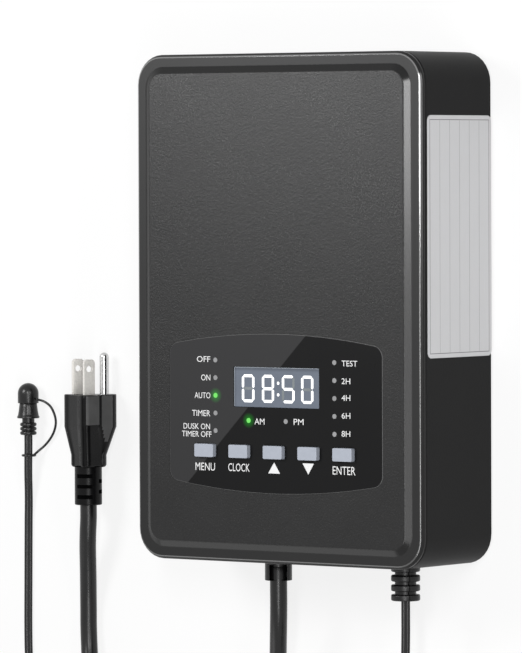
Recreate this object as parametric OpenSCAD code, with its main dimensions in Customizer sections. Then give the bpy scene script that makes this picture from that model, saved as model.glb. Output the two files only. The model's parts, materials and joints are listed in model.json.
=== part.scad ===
// Low voltage landscape transformer, lying on its back: a plug-in unit with a timer panel,
// a toroidal transformer inside, a mains cord with its plug and a light sensor on a twin cord.
// Row frame: +X to the right of the panel, +Y towards the top end, +Z out of the front face.
// The origin is the middle of the back face. All lengths are in millimetres.

/* [Case] */
// Width of the case
case_w = 174; // [168:1:210]
// Length of the case, from bottom end to top end
case_l = 250; // [246:1:300]
// Depth of the rear case, up to the seam
case_d = 56.5; // [55:0.5:70]
// Radius of the case's upright corners
corner_r = 15; // [12:0.5:20]
// Wall thickness of the rear case
wall = 2.5; // [2:0.1:3]
// Thickness of the rear case's floor
floor_t = 3; // [2.5:0.1:4]
// Chamfer round the back face
back_edge = 2; // [1:0.1:2.2]

/* [Front cover] */
// Thickness of the seal in the seam
seal_gap = 0.6; // [0.4:0.1:1]
// Height of the cover's side below its rim
skirt_h = 2.9; // [2.6:0.1:5]
// Thickness of the cover
cover_t = 2.5; // [2.2:0.1:2.7]
// Soft edge between the cover's side and its rim
edge_run = 1.5; // [1:0.1:2]
// Width of the flat rim round the raised panel
rim_w = 6; // [4:0.5:8]
// Run of the bevel up to the raised panel
bevel_run = 3.6; // [2:0.1:5]
// Height of the raised panel above the rim
plateau_h = 2; // [1:0.1:3]
// Depth of the lip that locates the cover inside the case
lip_h = 3.5; // [2:0.1:5]
// Thickness of that lip
lip_t = 1.6; // [1.2:0.1:2]
// Gap between the lip and the case wall
lip_clear = 0.3; // [0.2:0.05:0.5]

/* [Case screws] */
// Distance of each screw from the case's sides and ends
screw_inset = 13; // [12:0.5:15]
// Diameter of the screw's thread
screw_d = 2.9; // [2.5:0.1:3.5]
// Diameter of the screw's head
screw_head_d = 7; // [6:0.1:7.2]
// Height of the screw's head
screw_head_h = 2.6; // [2:0.1:3]
// Bore of the well that the screw goes in by
well_d = 7.6; // [7.4:0.1:8]
// Wall of the well
well_wall = 1.4; // [1:0.1:1.6]
// Web that the head pulls on
web_t = 4; // [3:0.1:5]
// Depth of the gap between the well's end and the cover's rim plate
pillar_l = 7.5; // [6:0.5:10]
// Diameter of the cover's pillars
pillar_d = 8; // [7:0.1:9]

/* [Keyholes] */
// Distance between the two keyholes
hanger_spacing = 100; // [80:1:110]
// Distance of the keyhole heads from the top end
hanger_drop = 27; // [24:1:40]
// Diameter of the keyhole's head
hanger_head_d = 9; // [8:0.1:10]
// Width of the keyhole's slot
hanger_slot_w = 4.6; // [4:0.1:5]
// Length of the slot above the head
hanger_slot_l = 9; // [7:0.5:12]
// Depth of the blind pocket behind the keyhole
hanger_depth = 6; // [5:0.5:8]
// Wall of that pocket
hanger_wall = 1.5; // [1:0.1:2]

/* [Control panel] */
// Width of the glossy panel
panel_w = 130; // [126:1:140]
// Length of the glossy panel at its middle
panel_l = 78.4; // [76:0.2:84]
// Height of the panel's centre above the bottom end
panel_up = 73.6; // [70:0.2:80]
// Radius of the bowed long sides
panel_bow_r = 372; // [340:1:500]
// Corner radius of the panel
panel_corner_r = 6; // [4:0.5:8]
// Thickness of the panel
panel_t = 0.4; // [0.3:0.1:0.6]
// How far the panel stands out of its recess
panel_proud = 0.1; // [0.05:0.05:0.15]
// Gap round the panel in its recess
panel_clear = 0.15; // [0.1:0.05:0.3]
// Width of the display window
window_w = 52; // [50:0.5:56]
// Length of the display window
window_l = 19.7; // [18:0.1:20]
// Thickness of the display window
window_t = 1.6; // [1.2:0.1:1.7]
// Width of the ledge that the window rests on
window_ledge = 1.2; // [0.8:0.1:1.6]
// Offset of the window to the right
window_x = 0.9; // [0:0.1:2]
// Height of the window above the panel's centre
window_up = 12.9; // [12:0.1:14]

/* [Indicator lamps] */
// Diameter of a lamp's light pipe
lamp_d = 2.4; // [2:0.1:2.8]
// Distance of the two lamp columns from the panel's centre line
lamp_column_x = 36.3; // [34:0.1:38]
// Distance between lamps in a column
lamp_pitch = 8.7; // [8:0.1:8.8]
// Height of the columns' middle above the panel's centre
lamp_up = 8.4; // [8:0.1:9]
// Offset of the morning lamp
morning_x = -15.9; // [-17:0.1:-14]
// Offset of the afternoon lamp
afternoon_x = 6.8; // [5:0.1:8]
// Height of those two lamps below the panel's centre
half_day_drop = 3.5; // [2.5:0.1:4.5]

/* [Buttons] */
// Width of a button
button_w = 11.6; // [10:0.1:12.5]
// Length of a button
button_l = 6.5; // [6:0.1:7.5]
// Distance between buttons
button_pitch = 21.1; // [19:0.1:21.5]
// Distance of the row of buttons below the panel's centre
button_drop = 18.8; // [18:0.1:21]
// How far a button stands out of the panel
button_proud = 2.3; // [1.5:0.1:3]
// Travel of a button
button_travel = 0.8; // [0.5:0.1:0.8]
// Gap round a button
button_clear = 0.3; // [0.2:0.05:0.4]

/* [Control board] */
// Width of the circuit board
board_w = 112; // [108:1:114]
// Length of the circuit board
board_l = 66; // [64:1:68]
// Thickness of the circuit board
board_t = 1.6; // [1:0.1:2]
// Distance between the board and the cover plate
board_gap = 7.5; // [7.2:0.1:8]
// Height of the board's centre above the panel's centre
board_up = 1.4; // [0:0.1:2]

/* [Toroidal transformer] */
// Inner radius of the steel core, as a share of the case's length
core_ri_share = 0.124; // [0.12:0.001:0.132]
// Outer radius of the steel core, as a share of the case's length
core_ro_share = 0.18; // [0.168:0.001:0.184]
// Height of the steel core
core_h = 26; // [22:0.5:26]
// Build of the primary winding
primary_t = 4; // [3:0.1:4.2]
// Build of the secondary winding
secondary_t = 4.5; // [3:0.1:4.7]
// Build of the outer tape
tape_t = 0.6; // [0.4:0.1:0.8]
// Share of the free length that lies between the toroid and the board
core_low_share = 0.25; // [0.2:0.01:0.5]
// Thickness of each rubber pad
pad_t = 1.5; // [1:0.1:1.6]
// Diameter of the centre bolt
bolt_d = 6; // [5:0.5:8]

/* [Low voltage terminals] */
// Distance between the two terminals
terminal_pitch = 20; // [18:0.5:21]
// Offset of the terminal bay to the right
terminal_x = 17; // [14:0.5:18]
// Height of the terminal bay
bay_h = 36; // [32:1:38]
// Width of the terminal bay
bay_w = 46; // [44:1:48]
// Depth of the terminal bay
bay_depth = 14; // [14:0.5:18]

/* [Mains cord and plug] */
// Diameter of the mains cord
mains_d = 8.6; // [8:0.1:9]
// Offset of the mains gland
mains_x = -22; // [-24:0.5:-20]
// Height of both glands above the back face
gland_z = 30; // [28:0.5:32]
// Diameter of the mains gland
mains_gland_d = 13.5; // [12:0.1:14]
// Length of the mains gland's saddle
saddle_l = 8.5; // [6:0.5:10]
// Length of the plug's body
plug_l = 37.2; // [34:0.1:40]
// Roll of the plug as it lies on its ground pin
plug_roll = 25; // [20:1:30]

/* [Light sensor] */
// Width of the flat twin cord
twin_w = 4.8; // [4:0.1:5]
// Thickness of the flat twin cord
twin_t = 2.4; // [2:0.1:2.5]
// Offset of the sensor gland
sensor_gland_x = 55.4; // [54:0.1:57]
// Diameter of the sensor gland's ribs
sensor_gland_d = 14.3; // [13:0.1:15]
// Diameter of the sensor's cap
cap_d = 10.8; // [10.6:0.1:12]
// Length of the sensor's cap
cap_l = 10.4; // [10:0.1:12]
// Wall of the cap
cap_wall = 1.1; // [0.8:0.1:1.2]

/* [Hidden] */
// Overrun of cuts past a face
over = 1;
// Thickness of the slices that a hull runs between
slice = 0.1;
// Steps in a quarter of a rounded corner
corner_steps = 8;
$fn = 64;

// Levels of the case and its cover
seam_z = case_d + seal_gap;
rim_z = seam_z + skirt_h;
top_z = rim_z + plateau_h;
rim_in_z = rim_z - cover_t;
plate_in_z = top_z - cover_t;
panel_floor_z = top_z + panel_proud - panel_t;
panel_top_z = top_z + panel_proud;

// Inside of the rear case
in_w = case_w - 2 * wall;
in_l = case_l - 2 * wall;
in_r = corner_r - wall;
seal_inset = 1.2;
seal_w = wall - seal_inset;

// Screw wells, from the back face to the web
well_end_z = rim_in_z - pillar_l;
head_z = well_end_z - web_t;
shank_clear = 0.7;
shank_clear_d = screw_d + shank_clear;
pilot_clear = 0.1;
pilot_short = 0.5;
pilot_l = pillar_l - pilot_short;
thread_short = 1;
thread_l = web_t + pillar_l - thread_short;
recess_d = 4;
recess_h = 1.2;

// Keyholes
hanger_y = case_l / 2 - hanger_drop;
pocket_w = 14;
pocket_margin = 2;
pocket_l = hanger_head_d + hanger_slot_l + 2 * pocket_margin;

// Control panel
panel_y = panel_up - case_l / 2;
button_flange = 1.2;
button_flange_t = 1;
button_corner_r = 0.8;
button_gap = 0.3;
stem_d = 3.5;
stem_engage = 0.9;
window_clear = 0.1;
window_corner_r = 0.6;
overlay_hole_clear = 0.1;
lamp_proud = 0.15;
lamp_flange_d = 3.6;
lamp_flange_t = 1;
lamp_l = 6.7;
lamp_rows = 5;
lit_row = 2;
button_names = ["menu", "clock", "up", "down", "enter"];

// Control board and what it carries
board_top_z = plate_in_z - board_gap;
board_low_z = board_top_z - board_t;
board_y = panel_y + board_up;
post_d = 6.5;
post_inset = 5;
post_pilot_d = 2.6;
post_pilot_l = 6;
board_hole_d = 3.2;
board_screw_d = 2.5;
board_screw_l = 7;
board_head_d = 5.6;
board_head_h = 2.2;
switch_w = 6;
switch_h = 4.4;
switch_margin = 0.3;
switch_well = stem_engage + button_travel + switch_margin;
switch_well_d = 3.9;
led_d = 3;
led_h = 3.2;
module_w = 50;
module_l = 18.6;
module_gap = 0.3;
relay_w = 15.5;
relay_l = 29;
relay_h = 15.5;
relay_x = 32;
capacitor_d = 10;
capacitor_h = 14;
capacitor_x = 8;
capacitor_pitch = 14;
cell_d = 20;
cell_t = 3.2;
cell_clip_w = 8;
cell_clip_t = 0.8;
cell_x = -36;
chip_w = 12;
chip_t = 1.6;
chip_x = -12;
chip_y_share = -0.26;
header_w = 15;
header_l = 7;
header_h = 7;
header_x = 38;

// Toroid: each layer wraps the one inside it with a small gap
layer_gap = 0.1;
core_x = 0;
core_ri = core_ri_share * case_l;
core_ro = core_ro_share * case_l;
wrap_1 = primary_t + layer_gap;
wrap_2 = wrap_1 + secondary_t + layer_gap;
wrap_3 = wrap_2 + tape_t + layer_gap;
toroid_r = core_ro + wrap_3;
board_end_y = board_y + board_l / 2;
core_y = board_end_y + toroid_r + core_low_share * (case_l / 2 - wall - board_end_y - 2 * toroid_r);
toroid_end_y = core_y - toroid_r;
toroid_low_z = floor_t + pad_t;
core_z = toroid_low_z + wrap_3;
toroid_top_z = core_z + core_h + wrap_3;
window_in_winding_w = 10;
window_in_winding_h = 8;
pad_lap = 2.4;
pad_ri = core_ri - wrap_3 + pad_lap;
pad_inset = 3;
pad_ro = core_ro - pad_inset;
washer_inset = 5;
washer_ro = core_ro - washer_inset;
washer_t = 1.5;
washer_dish = 4;
washer_edge = 0.5;
washer_flare_r = pad_ri - washer_edge;
washer_slope_w = 7.5;
washer_seat_r = washer_flare_r - washer_slope_w;
washer_bore_clear = 0.3;
bolt_head_af = 10;
bolt_head_h = 4;
boss_d = 18;
boss_h = 15;
insert_d = 9;
insert_l = 12;
bolt_engage = 10;
bolt_clear = 0.05;
cutout_w = 18;
cutout_l = 9;
cutout_h = 4.5;
cutout_out = 3;
cutout_r = core_ro + cutout_out;
cutout_turn = -60;

// Mains inlet strip on two posts
strip_w = 32;
strip_l = 16;
strip_h = 16;
strip_up = 29;
strip_y = strip_up - case_l / 2;
strip_post_d = 8;
strip_post_x = 10;
strip_channel_x = 8;
strip_channel_w = 8;
strip_channel_h = 5;

// Low voltage terminal bay, in the bottom end
bay_wall = 2;
bay_z = 28;
bay_y = bay_depth - case_l / 2;
block_clear = 1.5;
block_t = 6.5;
barrier_t = 1.6;
barrier_rise = 5.5;
clamp_w = 12;
clamp_t = 1.6;
terminal_d = 4;
terminal_l = 6;
terminal_clear = 0.1;
terminal_head_d = 8.6;
terminal_head_h = 3;
terminal_slot_w = 1.2;
terminal_slot_h = 1.4;
lead_hole_d = 4;

// Glands
gland_flange_t = 2;
gland_neck_clear = 0.1;
mains_neck_d = 10;
saddle_clear = 0.2;
saddle_turn = 35;
saddle_step = 0.6;
sensor_neck_d = 8;
sensor_core_d = 10.6;
sensor_rib_t = 3.2;
sensor_rib_pitch = 4.72;
sensor_ribs = 4;
sensor_gland_l = (sensor_ribs - 1) * sensor_rib_pitch + sensor_rib_t;

// Rating plate in its recess on the right side
plate_l = 117;
plate_h = 54;
plate_y = 35.5;
plate_z = case_d / 2;
plate_t = 0.4;
plate_corner_r = 3;
plate_recess = 0.5;
plate_clear = 0.2;

// Free cords. The routes' points are chosen by hand: x, y and z of the cord's centre.
mains_lead_route = [
    [-22, -127, 30], [-22, -132, 30], [-22, -138, 30], [-22.7, -148, 29], [-24.8, -158, 26.4],
    [-28, -168, 22.4], [-31.8, -178, 17.6], [-35.5, -188, 13], [-38.7, -198, 9], [-40.8, -208, 6.4],
    [-41.5, -218, 5.3], [-41.5, -235, 5.3], [-41.5, -253, 5.3]];
mains_tail_route = [
    [-152.3, -253, 14.6], [-152.3, -240, 14.6], [-152.3, -226, 14.6], [-152.7, -216, 14.2],
    [-154.4, -206, 12.7], [-157.1, -196, 10.1], [-160.1, -186, 7.3], [-162.4, -176, 5.1],
    [-163.3, -166, 4.4], [-163.3, -158, 4.4], [-162.8, -150, 5.1], [-161.4, -142, 6.9],
    [-159.9, -134, 8.9], [-158.2, -126, 11.2], [-156.2, -118, 13.5], [-154.8, -110, 14.7],
    [-154.8, -103.2, 14.7]];
sensor_lead_route = [
    [55.4, -142.4, 30], [55.4, -150, 30], [55.4, -158, 30], [54.3, -168, 28.7], [51.3, -178, 24.9],
    [47, -188, 19.5], [42.2, -198, 13.7], [37.9, -208, 8.3], [34.9, -218, 4], [33.8, -227, 2.2],
    [33.8, -233, 2.9], [33.8, -237, 3.3], [33.8, -240, 3.3]];
sensor_lead_turn = [0, 0, 0, 0, 0, 0, 0, 0, 5, 30, 60, 90, 90];
sensor_tail_route = [
    [60.5, -213.3, 8.6], [57.5, -213.3, 8.6], [52.5, -212.6, 8.1], [46, -210.2, 6.2],
    [38, -205.8, 3.7], [30, -201.8, 2],
    [20, -198.8, 1.3], [8, -198, 1.3], [-20, -198, 1.3], [-60, -198, 1.3], [-100, -198, 1.3],
    [-140, -198, 1.3], [-175, -198, 1.3], [-192, -198, 1.3], [-198.5, -196.3, 1.3],
    [-203.7, -191.5, 1.3], [-205.5, -185, 1.3], [-205.9, -170, 1.3], [-205.7, -145, 1.3],
    [-205.4, -115, 1.3], [-205, -107, 1.6], [-204.1, -99, 2.7], [-202.8, -91, 4.5],
    [-201.8, -83, 5.7], [-201.5, -76, 5.9], [-201.5, -69, 5.9]];
sensor_tail_turn = [
    90, 90, 78, 50, 25, 8, 0, 0, 0, 0, 0, 0, 0, 0, 0, 0, 0, 0, 0, 0, 0, 0, 0, 0, 0, 0];
cord_sides = 8;

// Coils: turns lie in two layers, spiral in, climb in the half turn at the inside, spiral out
coil_sides = 6;
coil_rings = 24;
mains_coil_r = 55.4;
mains_turn_gap = 0.7;
mains_coil_pitch = mains_d + mains_turn_gap;
mains_coil_step = mains_d + mains_turn_gap;
mains_coil_turns = 5.5;
mains_coil_centre = [-96.9, -261.6];
mains_coil_z = 5.3;
sensor_coil_r = 31.5;
sensor_turn_gap = 0.6;
sensor_layer_gap = 0.5;
sensor_coil_pitch = twin_t + sensor_turn_gap;
sensor_coil_step = twin_w + sensor_layer_gap;
sensor_coil_turns = 7.75;
sensor_coil_centre = [65.3, -244.8];
sensor_coil_z = 3.3;
// Where round the first turn a tie sits, as a share of the turn
tie_turn_share = 0.25;
tie_w = 4;
tie_t = 0.8;
tie_clear = 0.3;
tie_head = 3;

// Plug, in its own axes: x across the blades, -z towards the ground pin, y along the cord
plug_at = [-154.8, -46.8, 14.7];
plug_taper_y = -16.5;
plug_waist_y = -31;
waist_barrel_share = 0.38;
waist_shoulder_share = 0.61;
plug_end_chamfer = 1.5;
plug_relief_l = 19.2;
barrel_r = 6.2;
pin_off = 9.3;
pin_d = 4.75;
pin_l = 21.4;
blade_off = 2.6;
blade_half_pitch = 6.35;
blade_w = 6.35;
blade_t = 1.5;
blade_l = 18.2;
blade_tip = 1.2;
blade_hole_d = 3.2;
blade_hole_y = 13.3;
shoulder_r = 3.4;
shoulder_x = 9;
shoulder_z = 5.3;
relief_d = 14;
slot_floor_r = 5.2;
slot_t = 1.8;
slot_pitch = 5.25;
slot_first = 4.4;
long_slot_w = 8;
long_slots = 3;
short_slot_w = 4.4;
short_slots = 2;

// Sensor head, along +Y from the ribbed relief to the cap
sensor_x = -201.5;
sensor_z = 5.9;
sensor_y = -69;
head_core_d = 6.4;
head_rib_d = 8.6;
head_rib_t = 2;
head_ribs = 3;
head_relief_l = 8.7;
collar_l = 7.8;
collar_low_d = 11.6;
collar_top_d = 9.4;
collar_y = sensor_y + head_relief_l;
cap_y = collar_y + collar_l;
neck_l = 2;
neck_clear = 0.2;
eye_d = 7;
eye_l = 3;
cap_in_d = cap_d - 2 * cap_wall;
tether_d = 1.2;
tether_sides = 6;
tether_ring_r = 3.2;
tether_ring_y = -79.6;
tether_ring_z = 5.55;
tether_route = [
    [-195.4, -50.5, 5.9], [-191, -51.5, 5.7], [-187.4, -54, 5], [-185.5, -58.2, 4.1],
    [-185.7, -62.4, 2.8], [-187.6, -66.8, 1.8], [-190.5, -70.8, 1.4], [-194, -74.4, 1.6],
    [-197, -77.3, 3.2], [-198.4, -79.6, 5.6]];

// Leads inside the case
lead_d = 2.6;
lead_sides = 6;
lead_touch = 0.2;
// Each point's x and z in mm, and in the middle its share of the way from the toroid to the far end
primary_lead_steps = [[-7, 0, 20], [-8, 0.2, 20], [-14, 0.52, 23], [-18.5, 0.77, 27], [-18.5, 1, 28]];
secondary_lead_steps = [[7, 0, 20], [8, 0.2, 20], [10, 0.5, 23], [12, 0.8, 27.6], [12, 1, 28]];
function led_from(y_a, y_b, steps) = [for (p = steps) [p[0], y_a + p[1] * (y_b - y_a), p[2]]];
primary_lead_route =
    led_from(toroid_end_y + lead_touch, strip_y + strip_l / 2 + lead_touch, primary_lead_steps);
secondary_lead_route = led_from(toroid_end_y + lead_touch, bay_y + lead_touch, secondary_lead_steps);
inner_end_gap = 0.1;
sensor_inner_steps = [
    [55.4, 0, 30], [55.4, 0.05, 30], [52, 0.2, 31.5], [47.5, 0.5, 35], [42, 0.8, 39], [38, 1, 42.9]];
sensor_inner_route = led_from(
    wall + gland_flange_t + inner_end_gap - case_l / 2,
    board_y - board_l / 2 + header_l / 2 - inner_end_gap, sensor_inner_steps);
lead_gap = 7;
secondary_lead_end = secondary_lead_route[len(secondary_lead_route) - 1];

// Outline of a rounded rectangle, with its middle at the origin
function rounded(w, l, r) = [
    for (q = [0 : 3], k = [0 : corner_steps])
        let (a = q * 90 + k * 90 / corner_steps,
             sx = (q == 0 || q == 3) ? 1 : -1,
             sy = (q < 2) ? 1 : -1)
        [sx * (w / 2 - r) + r * cos(a), sy * (l / 2 - r) + r * sin(a)]];

module slab(w, l, r, h) {
    linear_extrude(height = h) polygon(rounded(w, l, r));
}

// Outline of the control panel, whose long sides are bowed, grown by g
function panel_outline(g) =
    let (hw = panel_w / 2 + g,
         hl = panel_l / 2 + g,
         big = panel_bow_r + g,
         small = panel_corner_r + g,
         cx = hw - small,
         cy = sqrt(pow(big - small, 2) - pow(cx, 2)) + hl - big,
         turn = atan2(cy - hl + big, cx),
         corner = [for (k = [0 : corner_steps])
             let (a = turn * k / corner_steps) [cx + small * cos(a), cy + small * sin(a)]],
         bow = [for (k = [1 : corner_steps])
             let (a = turn + (90 - turn) * k / corner_steps) [big * cos(a), hl - big + big * sin(a)]],
         quarter = concat(corner, bow),
         n = len(quarter))
    concat(
        quarter,
        [for (k = [n - 2 : -1 : 0]) [-quarter[k][0], quarter[k][1]]],
        [for (k = [0 : n - 1]) [-quarter[k][0], -quarter[k][1]]],
        [for (k = [n - 2 : -1 : 0]) [quarter[k][0], -quarter[k][1]]]);

// Places of the lamps on the panel, with 1 for a lamp that is lit
lamps = concat(
    [for (s = [-1, 1], k = [0 : lamp_rows - 1])
        [s * lamp_column_x, panel_y + lamp_up + ((lamp_rows - 1) / 2 - k) * lamp_pitch,
         (s < 0 && k == lit_row) ? 1 : 0]],
    [[morning_x, panel_y - half_day_drop, 1], [afternoon_x, panel_y - half_day_drop, 0]]);
button_y = panel_y - button_drop;
function button_x(k) = (k - (len(button_names) - 1) / 2) * button_pitch;

module at_corners(x, y) {
    for (sx = [-1, 1], sy = [-1, 1]) translate([sx * x, sy * y, 0]) children();
}
module at_screws() {
    at_corners(case_w / 2 - screw_inset, case_l / 2 - screw_inset) children();
}
module at_posts() {
    translate([0, board_y, 0])
        at_corners(board_w / 2 - post_inset, board_l / 2 - post_inset) children();
}
module at_lamps(lit) {
    for (p = lamps) if (p[2] == lit) translate([p[0], p[1], 0]) children();
}
module rod(d, z0, z1) {
    translate([0, 0, z0]) cylinder(d = d, h = z1 - z0);
}
// A cylinder along -Y, from y0 down to y1
module y_rod(d, y0, y1) {
    translate([0, y0, 0]) rotate([90, 0, 0]) cylinder(d = d, h = y0 - y1);
}
module block(w, l, z0, z1) {
    translate([-w / 2, -l / 2, z0]) cube([w, l, z1 - z0]);
}

module rear_case() {
    color([0.16, 0.16, 0.17]) difference() {
        union() {
            difference() {
                hull() {
                    slab(case_w - 2 * back_edge, case_l - 2 * back_edge, corner_r - back_edge, slice);
                    translate([0, 0, back_edge]) slab(case_w, case_l, corner_r, case_d - back_edge);
                }
                translate([0, 0, floor_t]) slab(in_w, in_l, in_r, case_d);
            }
            at_screws() rod(well_d + 2 * well_wall, floor_t - over, well_end_z);
            for (s = [-1, 1])
                translate([s * hanger_spacing / 2, hanger_y + hanger_slot_l / 2, 0])
                    block(pocket_w + 2 * hanger_wall, pocket_l + 2 * hanger_wall,
                          floor_t - over, floor_t + hanger_depth + hanger_wall);
            translate([core_x, core_y, 0]) rod(boss_d, floor_t - over, floor_t + boss_h);
            for (s = [-1, 1])
                translate([mains_x + s * strip_post_x, strip_y, 0])
                    rod(strip_post_d, floor_t - over, gland_z - strip_h / 2);
            translate([terminal_x, (bay_y + bay_wall - case_l / 2 + wall) / 2, 0])
                block(bay_w + 2 * bay_wall, bay_depth + bay_wall - wall + over,
                      bay_z - bay_h / 2 - bay_wall, bay_z + bay_h / 2 + bay_wall);
        }
        at_screws() rod(well_d, -over, head_z);
        at_screws() rod(shank_clear_d, -over, case_d);
        for (s = [-1, 1]) translate([s * hanger_spacing / 2, hanger_y, 0]) {
            rod(hanger_head_d, -over, floor_t + over);
            translate([0, hanger_slot_l, 0]) rod(hanger_slot_w, -over, floor_t + over);
            translate([0, hanger_slot_l / 2, 0]) block(hanger_slot_w, hanger_slot_l, -over, floor_t + over);
            translate([0, hanger_slot_l / 2, 0])
                block(pocket_w, pocket_l, floor_t, floor_t + hanger_depth);
        }
        translate([core_x, core_y, 0]) rod(insert_d, floor_t + boss_h - insert_l, floor_t + boss_h + over);
        translate([terminal_x, -case_l / 2 + bay_depth / 2 - over / 2, 0])
            block(bay_w, bay_depth + over, bay_z - bay_h / 2, bay_z + bay_h / 2);
        for (k = [0, 1])
            translate([secondary_lead_end[0] + k * lead_gap, 0, secondary_lead_end[2]])
                y_rod(lead_hole_d, bay_y + bay_wall + over, bay_y - over);
        translate([mains_x, 0, gland_z]) y_rod(mains_neck_d, wall + over - case_l / 2, -case_l / 2 - over);
        translate([sensor_gland_x, 0, gland_z])
            y_rod(sensor_neck_d, wall + over - case_l / 2, -case_l / 2 - over);
        translate([case_w / 2 - plate_recess, plate_y, plate_z]) rotate([0, 90, 0])
            slab(plate_h + 2 * plate_clear, plate_l + 2 * plate_clear, plate_corner_r, plate_recess + over);
    }
}

module front_cover() {
    plateau_w = case_w - 2 * rim_w;
    plateau_l = case_l - 2 * rim_w;
    plateau_r = corner_r - rim_w + bevel_run / 2;
    inner_w = plateau_w - 2 * bevel_run;
    inner_l = plateau_l - 2 * bevel_run;
    inner_r = corner_r - rim_w - bevel_run / 2;
    color([0.24, 0.24, 0.25]) difference() {
        union() {
            difference() {
                union() {
                    hull() {
                        translate([0, 0, seam_z]) slab(case_w, case_l, corner_r, skirt_h - edge_run);
                        translate([0, 0, rim_z - slice])
                            slab(case_w - 2 * edge_run, case_l - 2 * edge_run, corner_r - edge_run, slice);
                    }
                    hull() {
                        translate([0, 0, rim_z - slice]) slab(plateau_w, plateau_l, plateau_r, slice);
                        translate([0, 0, top_z - slice]) slab(inner_w, inner_l, inner_r, slice);
                    }
                }
                translate([0, 0, seam_z - over])
                    slab(in_w - 2 * lip_clear - 2 * lip_t, in_l - 2 * lip_clear - 2 * lip_t,
                         in_r - lip_clear - lip_t, rim_in_z - seam_z + over);
                translate([0, 0, seam_z - over]) slab(inner_w, inner_l, inner_r, plate_in_z - seam_z + over);
            }
            difference() {
                translate([0, 0, seam_z - lip_h])
                    slab(in_w - 2 * lip_clear, in_l - 2 * lip_clear, in_r - lip_clear, lip_h + slice);
                translate([0, 0, seam_z - lip_h - over])
                    slab(in_w - 2 * lip_clear - 2 * lip_t, in_l - 2 * lip_clear - 2 * lip_t,
                         in_r - lip_clear - lip_t, lip_h + slice + 2 * over);
            }
            at_screws() rod(pillar_d, well_end_z, rim_in_z + slice);
            at_posts() rod(post_d, board_top_z, plate_in_z + slice);
        }
        at_screws() rod(screw_d + pilot_clear, well_end_z - over, well_end_z + pilot_l);
        at_posts() rod(post_pilot_d, board_top_z - over, board_top_z + post_pilot_l);
        translate([0, panel_y, panel_floor_z]) linear_extrude(height = panel_t + over)
            polygon(panel_outline(panel_clear));
        translate([window_x, panel_y + window_up, panel_floor_z + window_clear - window_t])
            slab(window_w + 2 * window_clear, window_l + 2 * window_clear, window_corner_r, window_t + over);
        translate([window_x, panel_y + window_up, plate_in_z - over])
            slab(window_w - 2 * window_ledge, window_l - 2 * window_ledge, window_corner_r, cover_t + over);
        for (lit = [0, 1]) at_lamps(lit) rod(lamp_d + overlay_hole_clear, plate_in_z - over, top_z);
        for (k = [0 : len(button_names) - 1]) translate([button_x(k), button_y, plate_in_z - over])
            slab(button_w + 2 * button_clear, button_l + 2 * button_clear,
                 button_corner_r + button_clear, cover_t + over);
    }
}

module cover_seal() {
    color([0.05, 0.05, 0.05]) translate([0, 0, case_d]) difference() {
        slab(case_w - 2 * seal_inset, case_l - 2 * seal_inset, corner_r - seal_inset, seal_gap);
        translate([0, 0, -over])
            slab(case_w - 2 * seal_inset - 2 * seal_w, case_l - 2 * seal_inset - 2 * seal_w,
                 corner_r - seal_inset - seal_w, seal_gap + 2 * over);
    }
}

module case_screws() {
    color([0.7, 0.7, 0.72]) at_screws() difference() {
        union() {
            rod(screw_head_d, head_z - screw_head_h, head_z);
            rod(screw_d, head_z, head_z + thread_l);
        }
        for (a = [0, 90]) rotate([0, 0, a])
            block(recess_d, recess_h, head_z - screw_head_h - over, head_z - screw_head_h / 2);
    }
}

module rating_plate() {
    color([0.85, 0.85, 0.86]) translate([case_w / 2 - plate_recess, plate_y, plate_z])
        rotate([0, 90, 0]) slab(plate_h, plate_l, plate_corner_r, plate_t);
}

module control_panel() {
    color([0.05, 0.05, 0.06]) translate([0, 0, panel_floor_z]) difference() {
        translate([0, panel_y, 0]) linear_extrude(height = panel_t) polygon(panel_outline(0));
        translate([window_x, panel_y + window_up, -over])
            slab(window_w + 2 * window_clear, window_l + 2 * window_clear, window_corner_r,
                 panel_t + 2 * over);
        for (lit = [0, 1]) at_lamps(lit) rod(lamp_d + overlay_hole_clear, -over, panel_t + over);
        for (k = [0 : len(button_names) - 1]) translate([button_x(k), button_y, -over])
            slab(button_w + 2 * button_clear, button_l + 2 * button_clear,
                 button_corner_r + button_clear, panel_t + 2 * over);
    }
}

module display_window() {
    color([0.5, 0.55, 0.62])
        translate([window_x, panel_y + window_up, panel_floor_z + window_clear - window_t])
            slab(window_w, window_l, window_corner_r, window_t);
}

module light_pipe() {
    rod(lamp_d, panel_top_z + lamp_proud - lamp_l, panel_top_z + lamp_proud);
    rod(lamp_flange_d, plate_in_z - lamp_flange_t, plate_in_z);
}
module indicator_pipes_grey() {
    color([0.6, 0.6, 0.6]) at_lamps(0) light_pipe();
}
module indicator_pipes_green() {
    color([0.3, 0.9, 0.3]) at_lamps(1) light_pipe();
}

module button(k) {
    flange_z = plate_in_z - button_gap - button_flange_t;
    color([0.7, 0.72, 0.78]) translate([button_x(k), button_y, 0]) {
        translate([0, 0, flange_z])
            slab(button_w, button_l, button_corner_r, panel_top_z + button_proud - flange_z);
        translate([0, 0, flange_z])
            slab(button_w + 2 * button_flange, button_l + 2 * button_flange,
                button_corner_r, button_flange_t);
        rod(stem_d, board_top_z + switch_h - stem_engage, flange_z + slice);
    }
}
module button_menu() { button(0); }
module button_clock() { button(1); }
module button_up() { button(2); }
module button_down() { button(3); }
module button_enter() { button(4); }

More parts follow.
